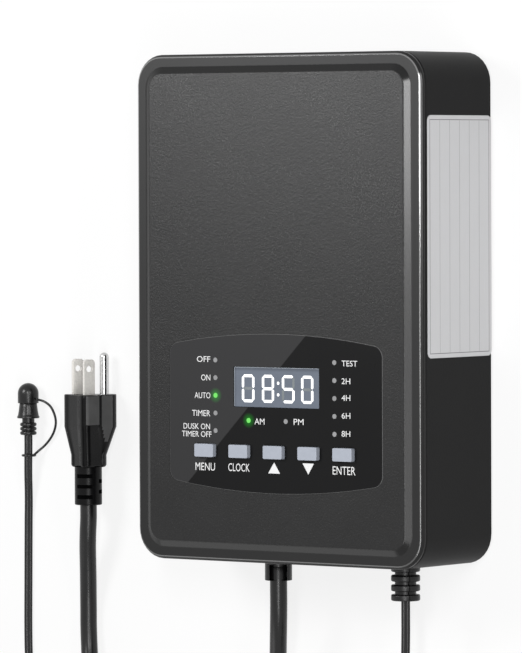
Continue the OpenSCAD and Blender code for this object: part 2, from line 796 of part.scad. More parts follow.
module control_board() {
    color([0.08, 0.35, 0.16]) difference() {
        translate([0, board_y, 0]) block(board_w, board_l, board_low_z, board_top_z);
        at_posts() rod(board_hole_d, board_low_z - over, board_top_z + over);
    }
}
module board_screws() {
    color([0.72, 0.72, 0.74]) at_posts() {
        rod(board_head_d, board_low_z - board_head_h, board_low_z);
        rod(board_screw_d, board_low_z - slice, board_low_z + board_screw_l);
    }
}
module tact_switches() {
    color([0.12, 0.12, 0.12]) for (k = [0 : len(button_names) - 1])
        translate([button_x(k), button_y, board_top_z]) difference() {
            block(switch_w, switch_w, 0, switch_h);
            rod(switch_well_d, switch_h - switch_well, switch_h + over);
        }
}
module board_leds() {
    color([0.9, 0.9, 0.85]) for (lit = [0, 1]) at_lamps(lit)
        rod(led_d, board_top_z, board_top_z + led_h);
}
module display_module() {
    color([0.2, 0.2, 0.22]) translate([window_x, panel_y + window_up, 0])
        block(module_w, module_l, board_top_z, plate_in_z - module_gap);
}
module relay() {
    color([0.1, 0.25, 0.55]) translate([relay_x, board_y, 0])
        block(relay_w, relay_l, board_low_z - relay_h, board_low_z);
}
module board_capacitors() {
    color([0.1, 0.1, 0.12]) for (k = [0, 1])
        translate([capacitor_x, board_y + (k - 1 / 2) * capacitor_pitch, 0])
            rod(capacitor_d, board_low_z - capacitor_h, board_low_z);
}
module backup_cell() {
    color([0.75, 0.75, 0.76]) translate([cell_x, board_y, 0]) rod(cell_d, board_low_z - cell_t, board_low_z);
}
module cell_clip() {
    clip_l = cell_d + 2 * cell_clip_t;
    color([0.8, 0.7, 0.4]) translate([cell_x, board_y, 0]) difference() {
        block(cell_clip_w, clip_l, board_low_z - cell_t - cell_clip_t, board_low_z);
        rod(cell_d, board_low_z - cell_t, board_low_z + over);
    }
}
module timer_chip() {
    color([0.08, 0.08, 0.08]) translate([chip_x, board_y + chip_y_share * board_l, 0])
        block(chip_w, chip_w, board_low_z - chip_t, board_low_z);
}
module sensor_header() {
    color([0.9, 0.9, 0.85]) translate([header_x, board_y - board_l / 2 + header_l, 0])
        block(header_w, header_l, board_low_z - header_h, board_low_z);
}

// A ring that wraps the core at distance t, without what lies inside distance s
module wrap(t, s) {
    translate([core_x, core_y, core_z]) difference() {
        rotate_extrude() translate([core_ri - t, -t]) square([core_ro - core_ri + 2 * t, core_h + 2 * t]);
        rotate_extrude() translate([core_ri - s, -s]) square([core_ro - core_ri + 2 * s, core_h + 2 * s]);
        translate([0, -core_ro, 0])
            block(window_in_winding_w, 2 * wrap_3, (core_h - window_in_winding_h) / 2,
                  (core_h + window_in_winding_h) / 2);
    }
}
module toroid_core() {
    color([0.5, 0.5, 0.55]) translate([core_x, core_y, core_z])
        rotate_extrude() translate([core_ri, 0]) square([core_ro - core_ri, core_h]);
}
module primary_winding() {
    color([0.72, 0.35, 0.15]) wrap(wrap_1, layer_gap);
}
module secondary_winding() {
    color([0.8, 0.42, 0.2]) wrap(wrap_2, wrap_1 + layer_gap);
}
module winding_tape() {
    color([0.85, 0.8, 0.3]) wrap(wrap_3, wrap_2 + layer_gap);
}
module pad(z) {
    color([0.12, 0.12, 0.12]) translate([core_x, core_y, z]) difference() {
        cylinder(r = pad_ro, h = pad_t);
        rod(2 * pad_ri, -over, pad_t + over);
    }
}
module rear_pad() { pad(floor_t); }
module front_pad() { pad(toroid_top_z); }

washer_low_z = toroid_top_z + pad_t - washer_dish;
module dished_washer() {
    rise = washer_dish;
    bore_r = bolt_d / 2 + washer_bore_clear;
    color([0.75, 0.75, 0.76]) translate([core_x, core_y, washer_low_z]) rotate_extrude() polygon([
        [bore_r, 0], [washer_seat_r, 0], [washer_flare_r, rise], [washer_ro, rise],
        [washer_ro, rise + washer_t], [washer_flare_r, rise + washer_t], [washer_seat_r, washer_t],
        [bore_r, washer_t]]);
}
module core_bolt() {
    head_low_z = washer_low_z + washer_t;
    color([0.7, 0.7, 0.72]) translate([core_x, core_y, 0]) {
        translate([0, 0, head_low_z])
            cylinder(d = bolt_head_af / cos(180 / 6), h = bolt_head_h, $fn = 6);
        rod(bolt_d, floor_t + boss_h - bolt_engage, head_low_z + slice);
    }
}
module bolt_insert() {
    color([0.8, 0.65, 0.3]) translate([core_x, core_y, 0]) difference() {
        rod(insert_d, floor_t + boss_h - insert_l, floor_t + boss_h);
        rod(bolt_d + 2 * bolt_clear, floor_t + boss_h - bolt_engage, floor_t + boss_h + over);
    }
}
module thermal_cutout() {
    color([0.9, 0.9, 0.88]) translate([core_x, core_y, toroid_top_z]) rotate([0, 0, cutout_turn])
        translate([cutout_r, 0, 0]) block(cutout_l, cutout_w, 0, cutout_h);
}

module mains_strip() {
    color([0.88, 0.88, 0.84]) translate([mains_x, strip_y, gland_z]) difference() {
        block(strip_w, strip_l, -strip_h / 2, strip_h / 2);
        for (s = [-1, 1]) translate([s * strip_channel_x, 0, 0])
            block(strip_channel_w, strip_l + 2 * over, strip_h / 2 - strip_channel_h, strip_h / 2 + over);
    }
}
module mains_inner_cord() {
    color([0.06, 0.06, 0.06]) translate([mains_x, 0, gland_z])
        y_rod(mains_d, strip_y - strip_l / 2, wall + gland_flange_t - case_l / 2);
}

module terminal_block() {
    block_w = bay_w - 2 * block_clear;
    block_h = bay_h - 2 * block_clear;
    front_y = bay_y - block_t;
    color([0.1, 0.09, 0.08]) difference() {
        union() {
            translate([terminal_x, (bay_y + front_y) / 2, bay_z])
                block(block_w, block_t, -block_h / 2, block_h / 2);
            for (k = [-1, 0, 1])
                translate([terminal_x + k * (block_w - barrier_t) / 2, front_y - barrier_rise / 2, bay_z])
                    block(barrier_t, barrier_rise + 2 * slice, -block_h / 2, block_h / 2);
        }
        for (s = [-1, 1]) translate([terminal_x + s * terminal_pitch / 2, 0, bay_z])
            y_rod(terminal_d + terminal_clear, front_y + terminal_l, front_y - over);
    }
}
module at_terminals() {
    for (s = [-1, 1]) translate([terminal_x + s * terminal_pitch / 2, bay_y - block_t, bay_z]) children();
}
module terminal_clamps() {
    color([0.8, 0.72, 0.45]) at_terminals() difference() {
        translate([0, -clamp_t / 2, 0]) block(clamp_w, clamp_t, -clamp_w / 2, clamp_w / 2);
        y_rod(terminal_d + terminal_clear, over, -clamp_t - over);
    }
}
module terminal_screws() {
    color([0.78, 0.78, 0.8]) at_terminals() difference() {
        union() {
            y_rod(terminal_d, terminal_l - slice, -clamp_t - slice);
            y_rod(terminal_head_d, -clamp_t, -clamp_t - terminal_head_h);
        }
        translate([0, -clamp_t - terminal_head_h, 0])
            block(terminal_head_d + over, 2 * terminal_slot_h, -terminal_slot_w / 2, terminal_slot_w / 2);
    }
}

// Neck through the case wall, and the flange that holds it inside
module gland_root(neck_d, flange_d) {
    y_rod(neck_d - 2 * gland_neck_clear, wall - case_l / 2 + slice, -case_l / 2 - slice);
    y_rod(flange_d, wall + gland_flange_t - case_l / 2, wall - case_l / 2);
}
module mains_gland() {
    color([0.05, 0.05, 0.05]) translate([mains_x, 0, gland_z]) {
        gland_root(mains_neck_d, mains_gland_d);
        difference() {
            y_rod(mains_gland_d, -case_l / 2, -case_l / 2 - gland_flange_t - saddle_l);
            translate([0, -gland_flange_t, 0])
                y_rod(mains_d + 2 * saddle_clear, -case_l / 2, -case_l / 2 - saddle_l - over);
            translate([0, -case_l / 2 - gland_flange_t - saddle_step - (saddle_l + over) / 2, 0])
                rotate([0, saddle_turn, 0])
                block(mains_d + saddle_clear, saddle_l + over, 0, mains_gland_d);
        }
    }
}
module sensor_gland() {
    color([0.06, 0.06, 0.06]) translate([sensor_gland_x, 0, gland_z]) {
        gland_root(sensor_neck_d, sensor_core_d);
        y_rod(sensor_core_d, -case_l / 2, -case_l / 2 - sensor_gland_l);
        for (k = [0 : sensor_ribs - 1]) translate([0, -k * sensor_rib_pitch, 0])
            y_rod(sensor_gland_d, -case_l / 2, -case_l / 2 - sensor_rib_t);
    }
}

function unit(v) = v / norm(v);
// Rings of a tube of elliptic section w by t along a path; turn tips the section about the path
function tube_rings(path, w, t, sides, turn) =
    let (n = len(path))
    [for (i = [0 : n - 1])
        let (ahead = unit(path[min(i + 1, n - 1)] - path[max(i - 1, 0)]),
             side = unit(cross(ahead, [0, 0, 1])),
             up = cross(side, ahead),
             tip = is_list(turn) ? turn[i] : turn)
        [for (k = [0 : sides - 1])
            let (a = 360 * k / sides,
                 u = w / 2 * cos(a),
                 v = t / 2 * sin(a))
            path[i] + side * (u * cos(tip) - v * sin(tip)) + up * (u * sin(tip) + v * cos(tip))]];
module tube(path, w, t, sides, turn = 0) {
    rings = tube_rings(path, w, t, sides, turn);
    n = len(rings);
    polyhedron(
        points = [for (r = rings, p = r) p],
        faces = concat(
            [[for (k = [sides - 1 : -1 : 0]) k]],
            [for (i = [0 : n - 2], k = [0 : sides - 1], half = [0, 1])
                let (a = i * sides + k,
                     b = i * sides + (k + 1) % sides)
                half == 0 ? [a, b, b + sides] : [a, b + sides, a + sides]],
            [[for (k = [0 : sides - 1]) (n - 1) * sides + k]]));
}

// Radius and height of a coil after t turns: in at a steady rate, a half turn that climbs, out again
function coil_r(t, turns, r, pitch) =
    let (inward = (turns - 1 / 2) / 2,
         m = t - inward)
    t <= inward ? r - pitch * t
    : t >= inward + 1 / 2 ? r - pitch * (turns - t)
    : r - pitch * inward - pitch * m * (1 - 2 * m);
function coil_z(t, turns, step) =
    let (m = t - (turns - 1 / 2) / 2)
    m <= 0 ? 0 : m >= 1 / 2 ? step : step * (1 - cos(360 * m)) / 2;
// Path of a coil from angle a0, with hand 1 counterclockwise, and a straight stretch at each end
function coil_path(centre, z, r, pitch, step, turns, a0, hand, straight) =
    let (steps = coil_rings * turns,
         round_part = [for (i = [0 : steps])
             let (t = i / coil_rings,
                  a = a0 + hand * 360 * t,
                  q = coil_r(t, turns, r, pitch))
             [centre[0] + q * cos(a), centre[1] + q * sin(a), z + coil_z(t, turns, step)]],
         out0 = hand * [sin(a0), -cos(a0), 0],
         a1 = a0 + hand * 360 * turns,
         out1 = hand * [-sin(a1), cos(a1), 0],
         last = round_part[len(round_part) - 1])
    concat([round_part[0] + straight * out0], round_part, [last + straight * out1]);

mains_coil = coil_path(mains_coil_centre, mains_coil_z, mains_coil_r, mains_coil_pitch, mains_coil_step,
                       mains_coil_turns, 0, -1, mains_d);
sensor_coil = coil_path(sensor_coil_centre, sensor_coil_z, sensor_coil_r, sensor_coil_pitch,
                        sensor_coil_step, sensor_coil_turns, 180, 1, twin_w);

// Least distance between ring points of one turn and those of the turns next to it
function least_gap(rings) =
    let (n = len(rings))
    min([for (i = [0 : n - 1], j = [i + coil_rings - 1 : coil_rings : n - 1], d = [0 : 2])
        if (j + d < n) min([for (p = rings[i], q = rings[j + d]) norm(p - q)])]);
echo(mains_coil_gap = least_gap(tube_rings(mains_coil, mains_d, mains_d, coil_sides, 0)));
echo(sensor_coil_gap = least_gap(tube_rings(sensor_coil, twin_w, twin_t, coil_sides, 90)));

// A band round all turns of a coil at its lower side, with a small lock on its outer edge
module coil_tie(centre, z, r_out, r_in, w, t, step) {
    low = z - w / 2 - tie_clear;
    high = z + step + w / 2 + tie_clear;
    near = r_in - t / 2 - tie_clear;
    far = r_out + t / 2 + tie_clear;
    translate([centre[0], centre[1] - (near + far) / 2, 0]) {
        difference() {
            block(tie_w, far - near + 2 * tie_t, low - tie_t, high + tie_t);
            block(tie_w + 2 * over, far - near, low, high);
        }
        translate([0, -(far - near) / 2 - tie_t - tie_head / 2, 0])
            block(tie_w + tie_t, tie_head, (low + high - tie_head) / 2, (low + high + tie_head) / 2);
    }
}

module mains_cord_lead() {
    color([0.06, 0.06, 0.06]) tube(mains_lead_route, mains_d, mains_d, cord_sides);
}
module mains_cord_coil() {
    color([0.06, 0.06, 0.06]) tube(mains_coil, mains_d, mains_d, coil_sides);
}
module mains_cord_tail() {
    color([0.06, 0.06, 0.06]) tube(mains_tail_route, mains_d, mains_d, cord_sides);
}
module mains_coil_tie() {
    outer = coil_r(tie_turn_share, mains_coil_turns, mains_coil_r, mains_coil_pitch);
    inner = coil_r(2 + tie_turn_share, mains_coil_turns, mains_coil_r, mains_coil_pitch);
    color([0.1, 0.1, 0.1])
        coil_tie(mains_coil_centre, mains_coil_z, outer, inner, mains_d, mains_d, mains_coil_step);
}
module sensor_cord_lead() {
    color([0.06, 0.06, 0.06]) tube(sensor_lead_route, twin_w, twin_t, cord_sides, sensor_lead_turn);
}
module sensor_cord_coil() {
    color([0.06, 0.06, 0.06]) tube(sensor_coil, twin_w, twin_t, coil_sides, 90);
}
module sensor_cord_tail() {
    color([0.06, 0.06, 0.06]) tube(sensor_tail_route, twin_w, twin_t, cord_sides, sensor_tail_turn);
}
module sensor_coil_tie() {
    inner_turn = 4;
    outer = coil_r(tie_turn_share, sensor_coil_turns, sensor_coil_r, sensor_coil_pitch);
    inner = coil_r(inner_turn + tie_turn_share, sensor_coil_turns, sensor_coil_r, sensor_coil_pitch);
    color([0.1, 0.1, 0.1])
        coil_tie(sensor_coil_centre, sensor_coil_z, outer, inner, twin_w, twin_t, sensor_coil_step);
}

module at_plug() {
    translate(plug_at) rotate([0, -plug_roll, 0]) children();
}
// One cross section of the plug's body: the ground barrel and two shoulders, drawn in by shares
module plug_section(y, barrel_share, shoulder_share, inset = 0) {
    translate([0, y, 0]) {
        translate([0, 0, -pin_off * barrel_share]) y_rod(2 * (barrel_r - inset), slice, 0);
        for (s = [-1, 1]) translate([s * shoulder_x * shoulder_share, 0, shoulder_z * shoulder_share])
            y_rod(2 * (shoulder_r - inset), slice, 0);
    }
}
// A sleeve with a row of slots on each side and a shorter row between them, set half a step on
module plug_relief() {
    difference() {
        y_rod(relief_d, -plug_l, -plug_l - plug_relief_l);
        for (turn = [45, 225], k = [0 : long_slots - 1])
            rotate([0, turn, 0]) translate([0, -plug_l - slot_first - k * slot_pitch, 0])
                block(long_slot_w, slot_t, slot_floor_r, relief_d);
        for (turn = [135, 315], k = [0 : short_slots - 1])
            rotate([0, turn, 0]) translate([0, -plug_l - slot_first - (k + 1 / 2) * slot_pitch, 0])
                block(short_slot_w, slot_t, slot_floor_r, relief_d);
    }
}
module plug_body() {
    color([0.08, 0.08, 0.08]) at_plug() {
        hull() {
            plug_section(-slice, 1, 1, $fn = 32);
            plug_section(plug_taper_y, 1, 1, $fn = 32);
        }
        hull() {
            plug_section(plug_taper_y, 1, 1, $fn = 32);
            plug_section(plug_waist_y, waist_barrel_share, waist_shoulder_share, $fn = 32);
        }
        hull() {
            plug_section(plug_waist_y, waist_barrel_share, waist_shoulder_share, $fn = 32);
            plug_section(plug_end_chamfer - plug_l, waist_barrel_share, waist_shoulder_share, $fn = 32);
            plug_section(-plug_l, waist_barrel_share, waist_shoulder_share, plug_end_chamfer, $fn = 32);
        }
        plug_relief();
    }
}
module plug_blades() {
    color([0.8, 0.7, 0.45]) at_plug() for (s = [-1, 1])
        translate([s * blade_half_pitch - blade_t / 2, 0, blade_off]) rotate([90, 0, 90]) difference() {
            linear_extrude(height = blade_t) polygon([
                [0, -blade_w / 2], [blade_l - blade_tip, -blade_w / 2], [blade_l, blade_tip - blade_w / 2],
                [blade_l, blade_w / 2 - blade_tip], [blade_l - blade_tip, blade_w / 2], [0, blade_w / 2]]);
            translate([blade_hole_y, 0, 0]) rod(blade_hole_d, -over, blade_t + over);
        }
}
module plug_ground_pin() {
    color([0.8, 0.7, 0.45]) at_plug() translate([0, 0, -pin_off]) {
        y_rod(pin_d, pin_l - pin_d / 2, 0);
        translate([0, pin_l - pin_d / 2, 0]) sphere(d = pin_d);
    }
}

module at_sensor() {
    translate([sensor_x, 0, sensor_z]) children();
}
module sensor_head() {
    rib_pitch = (head_relief_l - head_rib_t) / head_ribs;
    color([0.06, 0.06, 0.06]) at_sensor() {
        y_rod(head_core_d, collar_y + slice, sensor_y);
        for (k = [0 : head_ribs - 1])
            translate([0, sensor_y + k * rib_pitch, 0]) y_rod(head_rib_d, head_rib_t, 0);
        translate([0, collar_y, 0]) rotate([-90, 0, 0])
            cylinder(d1 = collar_low_d, d2 = collar_top_d, h = collar_l);
        y_rod(cap_in_d - 2 * neck_clear, cap_y + neck_l, cap_y - slice);
    }
}
module sensor_eye() {
    color([0.3, 0.3, 0.32]) at_sensor() translate([0, cap_y + neck_l, 0]) {
        y_rod(eye_d, eye_l, 0);
        translate([0, eye_l, 0]) difference() {
            sphere(d = eye_d);
            y_rod(eye_d + over, 0, -eye_d);
        }
    }
}
module sensor_cap() {
    straight = cap_l - cap_d / 2;
    color([0.07, 0.07, 0.07]) at_sensor() translate([0, cap_y, 0]) difference() {
        union() {
            y_rod(cap_d, straight, 0);
            translate([0, straight, 0]) sphere(d = cap_d);
        }
        translate([0, -cap_d, 0]) y_rod(cap_d + over, cap_d, 0);
        y_rod(cap_in_d, straight, -over);
        translate([0, straight, 0]) sphere(d = cap_in_d);
    }
}
module cap_tether() {
    color([0.08, 0.08, 0.08]) {
        tube(tether_route, tether_d, tether_d, tether_sides);
        translate([sensor_x, tether_ring_y, tether_ring_z]) rotate([90, 0, 0])
            rotate_extrude() translate([tether_ring_r, 0]) circle(d = tether_d);
    }
}

module primary_leads() {
    color([0.15, 0.15, 0.5]) for (k = [0, 1]) translate([-k * lead_gap, 0, 0])
        tube(primary_lead_route, lead_d, lead_d, lead_sides);
}
module secondary_leads() {
    color([0.7, 0.1, 0.1]) for (k = [0, 1]) translate([k * lead_gap, 0, 0])
        tube(secondary_lead_route, lead_d, lead_d, lead_sides);
}
module sensor_inner_lead() {
    color([0.06, 0.06, 0.06]) tube(sensor_inner_route, lead_d, lead_d, lead_sides);
}

rear_case();
front_cover();
cover_seal();
case_screws();
rating_plate();
control_panel();
display_window();
indicator_pipes_grey();
indicator_pipes_green();
button_menu();
button_clock();
button_up();
button_down();
button_enter();
control_board();
board_screws();
tact_switches();
board_leds();
display_module();
relay();
board_capacitors();
backup_cell();
cell_clip();
timer_chip();
sensor_header();
toroid_core();
primary_winding();
secondary_winding();
winding_tape();
rear_pad();
front_pad();
dished_washer();
core_bolt();
bolt_insert();
thermal_cutout();
mains_strip();
mains_inner_cord();
primary_leads();
secondary_leads();
sensor_inner_lead();
terminal_block();
terminal_clamps();
terminal_screws();
mains_gland();
mains_cord_lead();
mains_cord_coil();
mains_cord_tail();
mains_coil_tie();
plug_body();
plug_blades();
plug_ground_pin();
sensor_gland();
sensor_cord_lead();
sensor_cord_coil();
sensor_cord_tail();
sensor_coil_tie();
sensor_head();
sensor_eye();
sensor_cap();
cap_tether();
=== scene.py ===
"""A timed low voltage landscape transformer on its back, with its mains cord and its light sensor."""
import json
import math

import bmesh
import bpy
import numpy as np
from mathutils import Matrix, Vector


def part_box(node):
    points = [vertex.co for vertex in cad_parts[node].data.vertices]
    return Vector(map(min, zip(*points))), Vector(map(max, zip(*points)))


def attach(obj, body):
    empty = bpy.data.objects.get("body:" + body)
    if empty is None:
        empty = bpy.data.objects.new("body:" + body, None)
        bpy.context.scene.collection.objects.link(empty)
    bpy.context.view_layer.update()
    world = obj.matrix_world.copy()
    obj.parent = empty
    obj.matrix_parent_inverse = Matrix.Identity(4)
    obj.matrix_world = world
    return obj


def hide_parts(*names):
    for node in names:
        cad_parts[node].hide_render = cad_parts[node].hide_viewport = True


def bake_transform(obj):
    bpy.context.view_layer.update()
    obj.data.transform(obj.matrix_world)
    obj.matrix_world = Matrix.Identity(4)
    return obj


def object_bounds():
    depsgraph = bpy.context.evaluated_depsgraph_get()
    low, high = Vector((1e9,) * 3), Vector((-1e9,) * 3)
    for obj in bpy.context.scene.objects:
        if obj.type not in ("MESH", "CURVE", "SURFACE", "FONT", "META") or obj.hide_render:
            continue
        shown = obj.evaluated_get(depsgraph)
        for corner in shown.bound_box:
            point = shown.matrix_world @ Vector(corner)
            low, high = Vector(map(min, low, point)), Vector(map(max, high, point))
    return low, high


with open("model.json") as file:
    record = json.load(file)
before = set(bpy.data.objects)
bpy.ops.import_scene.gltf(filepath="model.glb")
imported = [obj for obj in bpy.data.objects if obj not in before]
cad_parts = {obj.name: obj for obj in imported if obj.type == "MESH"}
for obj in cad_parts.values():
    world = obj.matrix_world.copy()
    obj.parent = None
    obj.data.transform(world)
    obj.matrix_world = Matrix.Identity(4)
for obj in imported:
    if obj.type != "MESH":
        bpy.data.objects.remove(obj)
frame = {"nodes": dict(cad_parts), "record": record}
box_of_frame = [list(corner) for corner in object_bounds()]
MM = 0.001


# The photograph's camera. It stands far off, in front of the cover and to the side that carries the
# plate, so the case's long edges stay almost parallel.
CAMERA_PLACE = (1.6820, 0.0712, 2.3050)
CAMERA_TURN = math.radians(37.0)
CAMERA_TIP = math.radians(1.63)
CAMERA_ROLL = math.radians(-0.205)
CAMERA_LENS = 316.6
CAMERA_REACH = 30.0

looking = -np.array([
    math.sin(CAMERA_TURN) * math.cos(CAMERA_TIP),
    math.sin(CAMERA_TIP),
    math.cos(CAMERA_TURN) * math.cos(CAMERA_TIP)])
level = np.cross(looking, (0, 1, 0))
level /= np.linalg.norm(level)
upright = np.cross(level, looking)
camera_right = math.cos(CAMERA_ROLL) * level + math.sin(CAMERA_ROLL) * upright
camera_up = math.cos(CAMERA_ROLL) * upright - math.sin(CAMERA_ROLL) * level
camera = bpy.data.objects.new("camera", bpy.data.cameras.new("camera"))
bpy.context.scene.collection.objects.link(camera)
camera.matrix_world = Matrix([
    [camera_right[k], camera_up[k], -looking[k], CAMERA_PLACE[k]] for k in range(3)] + [[0, 0, 0, 1]])
camera.data.lens = CAMERA_LENS
camera.data.clip_end = CAMERA_REACH
bpy.context.scene.camera = camera
bpy.context.scene.view_settings.view_transform = "Standard"


# The floor is one wide sheet of white board under the unit. The camera sees it almost white,
# and it keeps the soft shadows that the unit and its cords throw.
class Wire:
    """A shader socket that takes part in sums, so that a material's maths reads as Python."""

    def __init__(self, tree, out):
        self.tree, self.out = tree, out

    def operate(self, operation, *terms):
        """The Math node that works out operation on the terms."""
        node = self.tree.nodes.new("ShaderNodeMath")
        node.operation = operation
        for socket, term in zip(node.inputs, terms):
            feed(self.tree, socket, term)
        return Wire(self.tree, node.outputs[0])

    def __add__(self, other):
        return self.operate("ADD", self, other)

    def __sub__(self, other):
        return self.operate("SUBTRACT", self, other)

    def __rsub__(self, other):
        return self.operate("SUBTRACT", other, self)

    def __mul__(self, other):
        return self.operate("MULTIPLY", self, other)

    def __gt__(self, other):
        return self.operate("GREATER_THAN", self, other)

    def __lt__(self, other):
        return self.operate("LESS_THAN", self, other)

    def __pow__(self, other):
        return self.operate("POWER", self, other)

    def __abs__(self):
        return self.operate("ABSOLUTE", self)

    def least(self, other):
        return self.operate("MINIMUM", self, other)

    def most(self, other):
        return self.operate("MAXIMUM", self, other)

    def pingpong(self, span):
        """Up from 0 to span and down again, over and over."""
        return self.operate("PINGPONG", self, span)

    __radd__ = __add__
    __rmul__ = __mul__


def feed(tree, socket, value):
    """Links a Wire to a socket, or writes a plain value on it."""
    if isinstance(value, Wire):
        tree.links.new(value.out, socket)
    elif isinstance(value, (tuple, list)) and len(value) == 3 and socket.type == "RGBA":
        socket.default_value = (*value, 1)
    else:
        socket.default_value = value


class Finish:
    """A material. Numbers and colours given by name are written on its shader's own sockets."""

    def __init__(self, name, **sockets):
        self.material = bpy.data.materials.new(name)
        self.material.use_nodes = True
        self.tree = self.material.node_tree
        self.shader = self.tree.nodes["Principled BSDF"]
        self.end = self.tree.nodes["Material Output"]
        self.give(**sockets)

    def give(self, **sockets):
        for name, value in sockets.items():
            feed(self.tree, self.shader.inputs[name.replace("_", " ")], value)

    def node(self, kind, out, settings, sockets):
        """Any node: its settings go first, then values or Wires for its sockets; out names its output."""
        node = self.tree.nodes.new("ShaderNode" + kind)
        for name, value in settings.items():
            setattr(node, name, value)
        for name, value in sockets.items():
            feed(self.tree, node.inputs[name], value)
        return Wire(self.tree, node.outputs[out])

    def place(self):
        return self.node("TexCoord", "Object", {}, {})

    def axes(self):
        place = self.place()
        return [self.node("SeparateXYZ", axis, {}, {"Vector": place}) for axis in "XYZ"]

    def noise(self, size, detail=2.0, stretch=(1, 1, 1), rough=0.5):
        """Soft noise whose lumps are about size metres across, drawn out along an axis by stretch."""
        scaled = self.node("Mapping", "Vector", {}, {
            "Vector": self.place(), "Scale": tuple(1 / (size * s) for s in stretch)})
        return self.node("TexNoise", "Fac", {}, {
            "Vector": scaled, "Scale": 1.0, "Detail": detail, "Roughness": rough})

    def mixed(self, factor, low, high):
        """A colour that goes from low to high as factor goes from 0 to 1."""
        return self.node("Mix", 2, {"data_type": "RGBA"}, {0: factor, 6: low, 7: high})

    def shaded(self, factor, colour, low, high):
        """A colour from low times itself to high times itself as factor goes from 0 to 1."""
        return self.mixed(
            factor, tuple(low * part for part in colour), tuple(high * part for part in colour))

    def ramp(self, value, low, high):
        """0 where value is below low, 1 where it is above high, and even between them."""
        return self.node("MapRange", "Result", {}, {
            "Value": value, "From Min": low, "From Max": high, "To Min": 0.0, "To Max": 1.0})

    def bump(self, height, depth):
        """Small relief: height from 0 to 1 stands depth metres proud."""
        return self.node("Bump", "Normal", {}, {"Height": height, "Distance": depth, "Strength": 1.0})


FLOOR_SIZE = 8.0
FLOOR_WHITE = (0.93, 0.93, 0.93)
FLOOR_SHOWN = 0.8
PURE_WHITE = (1.0, 1.0, 1.0)


def shown(tree):
    """1 for a ray that shows its target: the camera's own, or one from a mirror or through glass."""
    path = tree.nodes.new("ShaderNodeLightPath")
    own, mirrored, through = (
        Wire(tree, path.outputs[f"Is {kind} Ray"]) for kind in ("Camera", "Glossy", "Transmission"))
    return (own + mirrored + through).least(1.0)


floor_white = Finish("floor_white", Base_Color=FLOOR_WHITE, Roughness=0.9)
seen = shown(floor_white.tree) * FLOOR_SHOWN
glow = floor_white.node("Emission", "Emission", {}, {"Color": PURE_WHITE, "Strength": 1.0})
both = floor_white.node("MixShader", "Shader", {}, {
    0: seen, 1: Wire(floor_white.tree, floor_white.shader.outputs[0]), 2: glow})
floor_white.tree.links.new(both.out, floor_white.end.inputs["Surface"])


def made(name, points, faces, finish):
    """A new object at the origin whose mesh has these points in metres and these faces."""
    mesh = bpy.data.meshes.new(name)
    mesh.from_pydata(np.asarray(points, float).reshape(-1, 3).tolist(), [], faces)
    mesh.validate()
    mesh.materials.append(finish.material)
    thing = bpy.data.objects.new(name, mesh)
    bpy.context.scene.collection.objects.link(thing)
    return thing


half_floor = FLOOR_SIZE / 2
floor_z = box_of_frame[0][2]
floor = made("floor", [
    (-half_floor, -half_floor, floor_z), (half_floor, -half_floor, floor_z),
    (half_floor, half_floor, floor_z), (-half_floor, half_floor, floor_z)], [(0, 1, 2, 3)], floor_white)


# The studio: a pale room and seven softboxes. One on the upper left makes the front lighter towards
# its top, two overhead light the sloping edge, two near the camera the cords, one beside the case its
# chamfered edge, and a faint one its foot. Each has its place, aim, length and width, and power.
ROOM_LIGHT = 0.06
LAMPS = (
    ("key_softbox", (-0.35, 0.23, 0.6), (0.04, 0.07, 0.06), (0.25, 0.25), 2.7),
    ("slope_softbox", (0.45, 0.23, 1.0), (0.08, 0.23, 0.06), (0.38, 0.1), 4.0),
    ("low_softbox", (0.45, -0.34, 1.0), (0.08, -0.34, 0.06), (0.68, 0.12), 1.2),
    ("cord_softbox", (0.6, -0.26, 0.84), (0.0, -0.26, 0.03), (0.46, 0.1), 2.0),
    ("lead_softbox", (0.51, -0.74, 0.8), (-0.02, -0.74, 0.03), (0.5, 0.12), 2.3),
    ("edge_softbox", (0.88, 0.28, 0.66), (0.08, 0.28, 0.06), (0.5, 0.13), 2.7),
    ("foot_softbox", (-0.6, -0.82, 0.46), (0.0, -0.12, 0.06), (0.5, 0.3), 0.6),
)

room = bpy.data.worlds.new("room")
room.use_nodes = True
bpy.context.scene.world = room
air = room.node_tree.nodes["Background"]
feed(room.node_tree, air.inputs["Color"], PURE_WHITE)
feed(room.node_tree, air.inputs["Strength"], shown(room.node_tree) * (1 - ROOM_LIGHT) + ROOM_LIGHT)

for lamp_name, lamp_place, lamp_aim, lamp_size, lamp_power in LAMPS:
    lamp = bpy.data.objects.new(lamp_name, bpy.data.lights.new(lamp_name, "AREA"))
    bpy.context.scene.collection.objects.link(lamp)
    lamp.data.shape = "RECTANGLE"
    lamp.data.size, lamp.data.size_y = lamp_size
    lamp.data.energy = lamp_power
    lamp.location = lamp_place
    lamp.rotation_euler = (Vector(lamp_aim) - Vector(lamp_place)).to_track_quat("-Z", "Y").to_euler()


# The mains cord: three cores in a round black jacket. It leaves the saddle in the bottom end, runs
# down to the surface and into a coil held by a tie, and comes up the left side to its plug.
MAINS_D = 8.6 * MM
MAINS_SIDES = 28

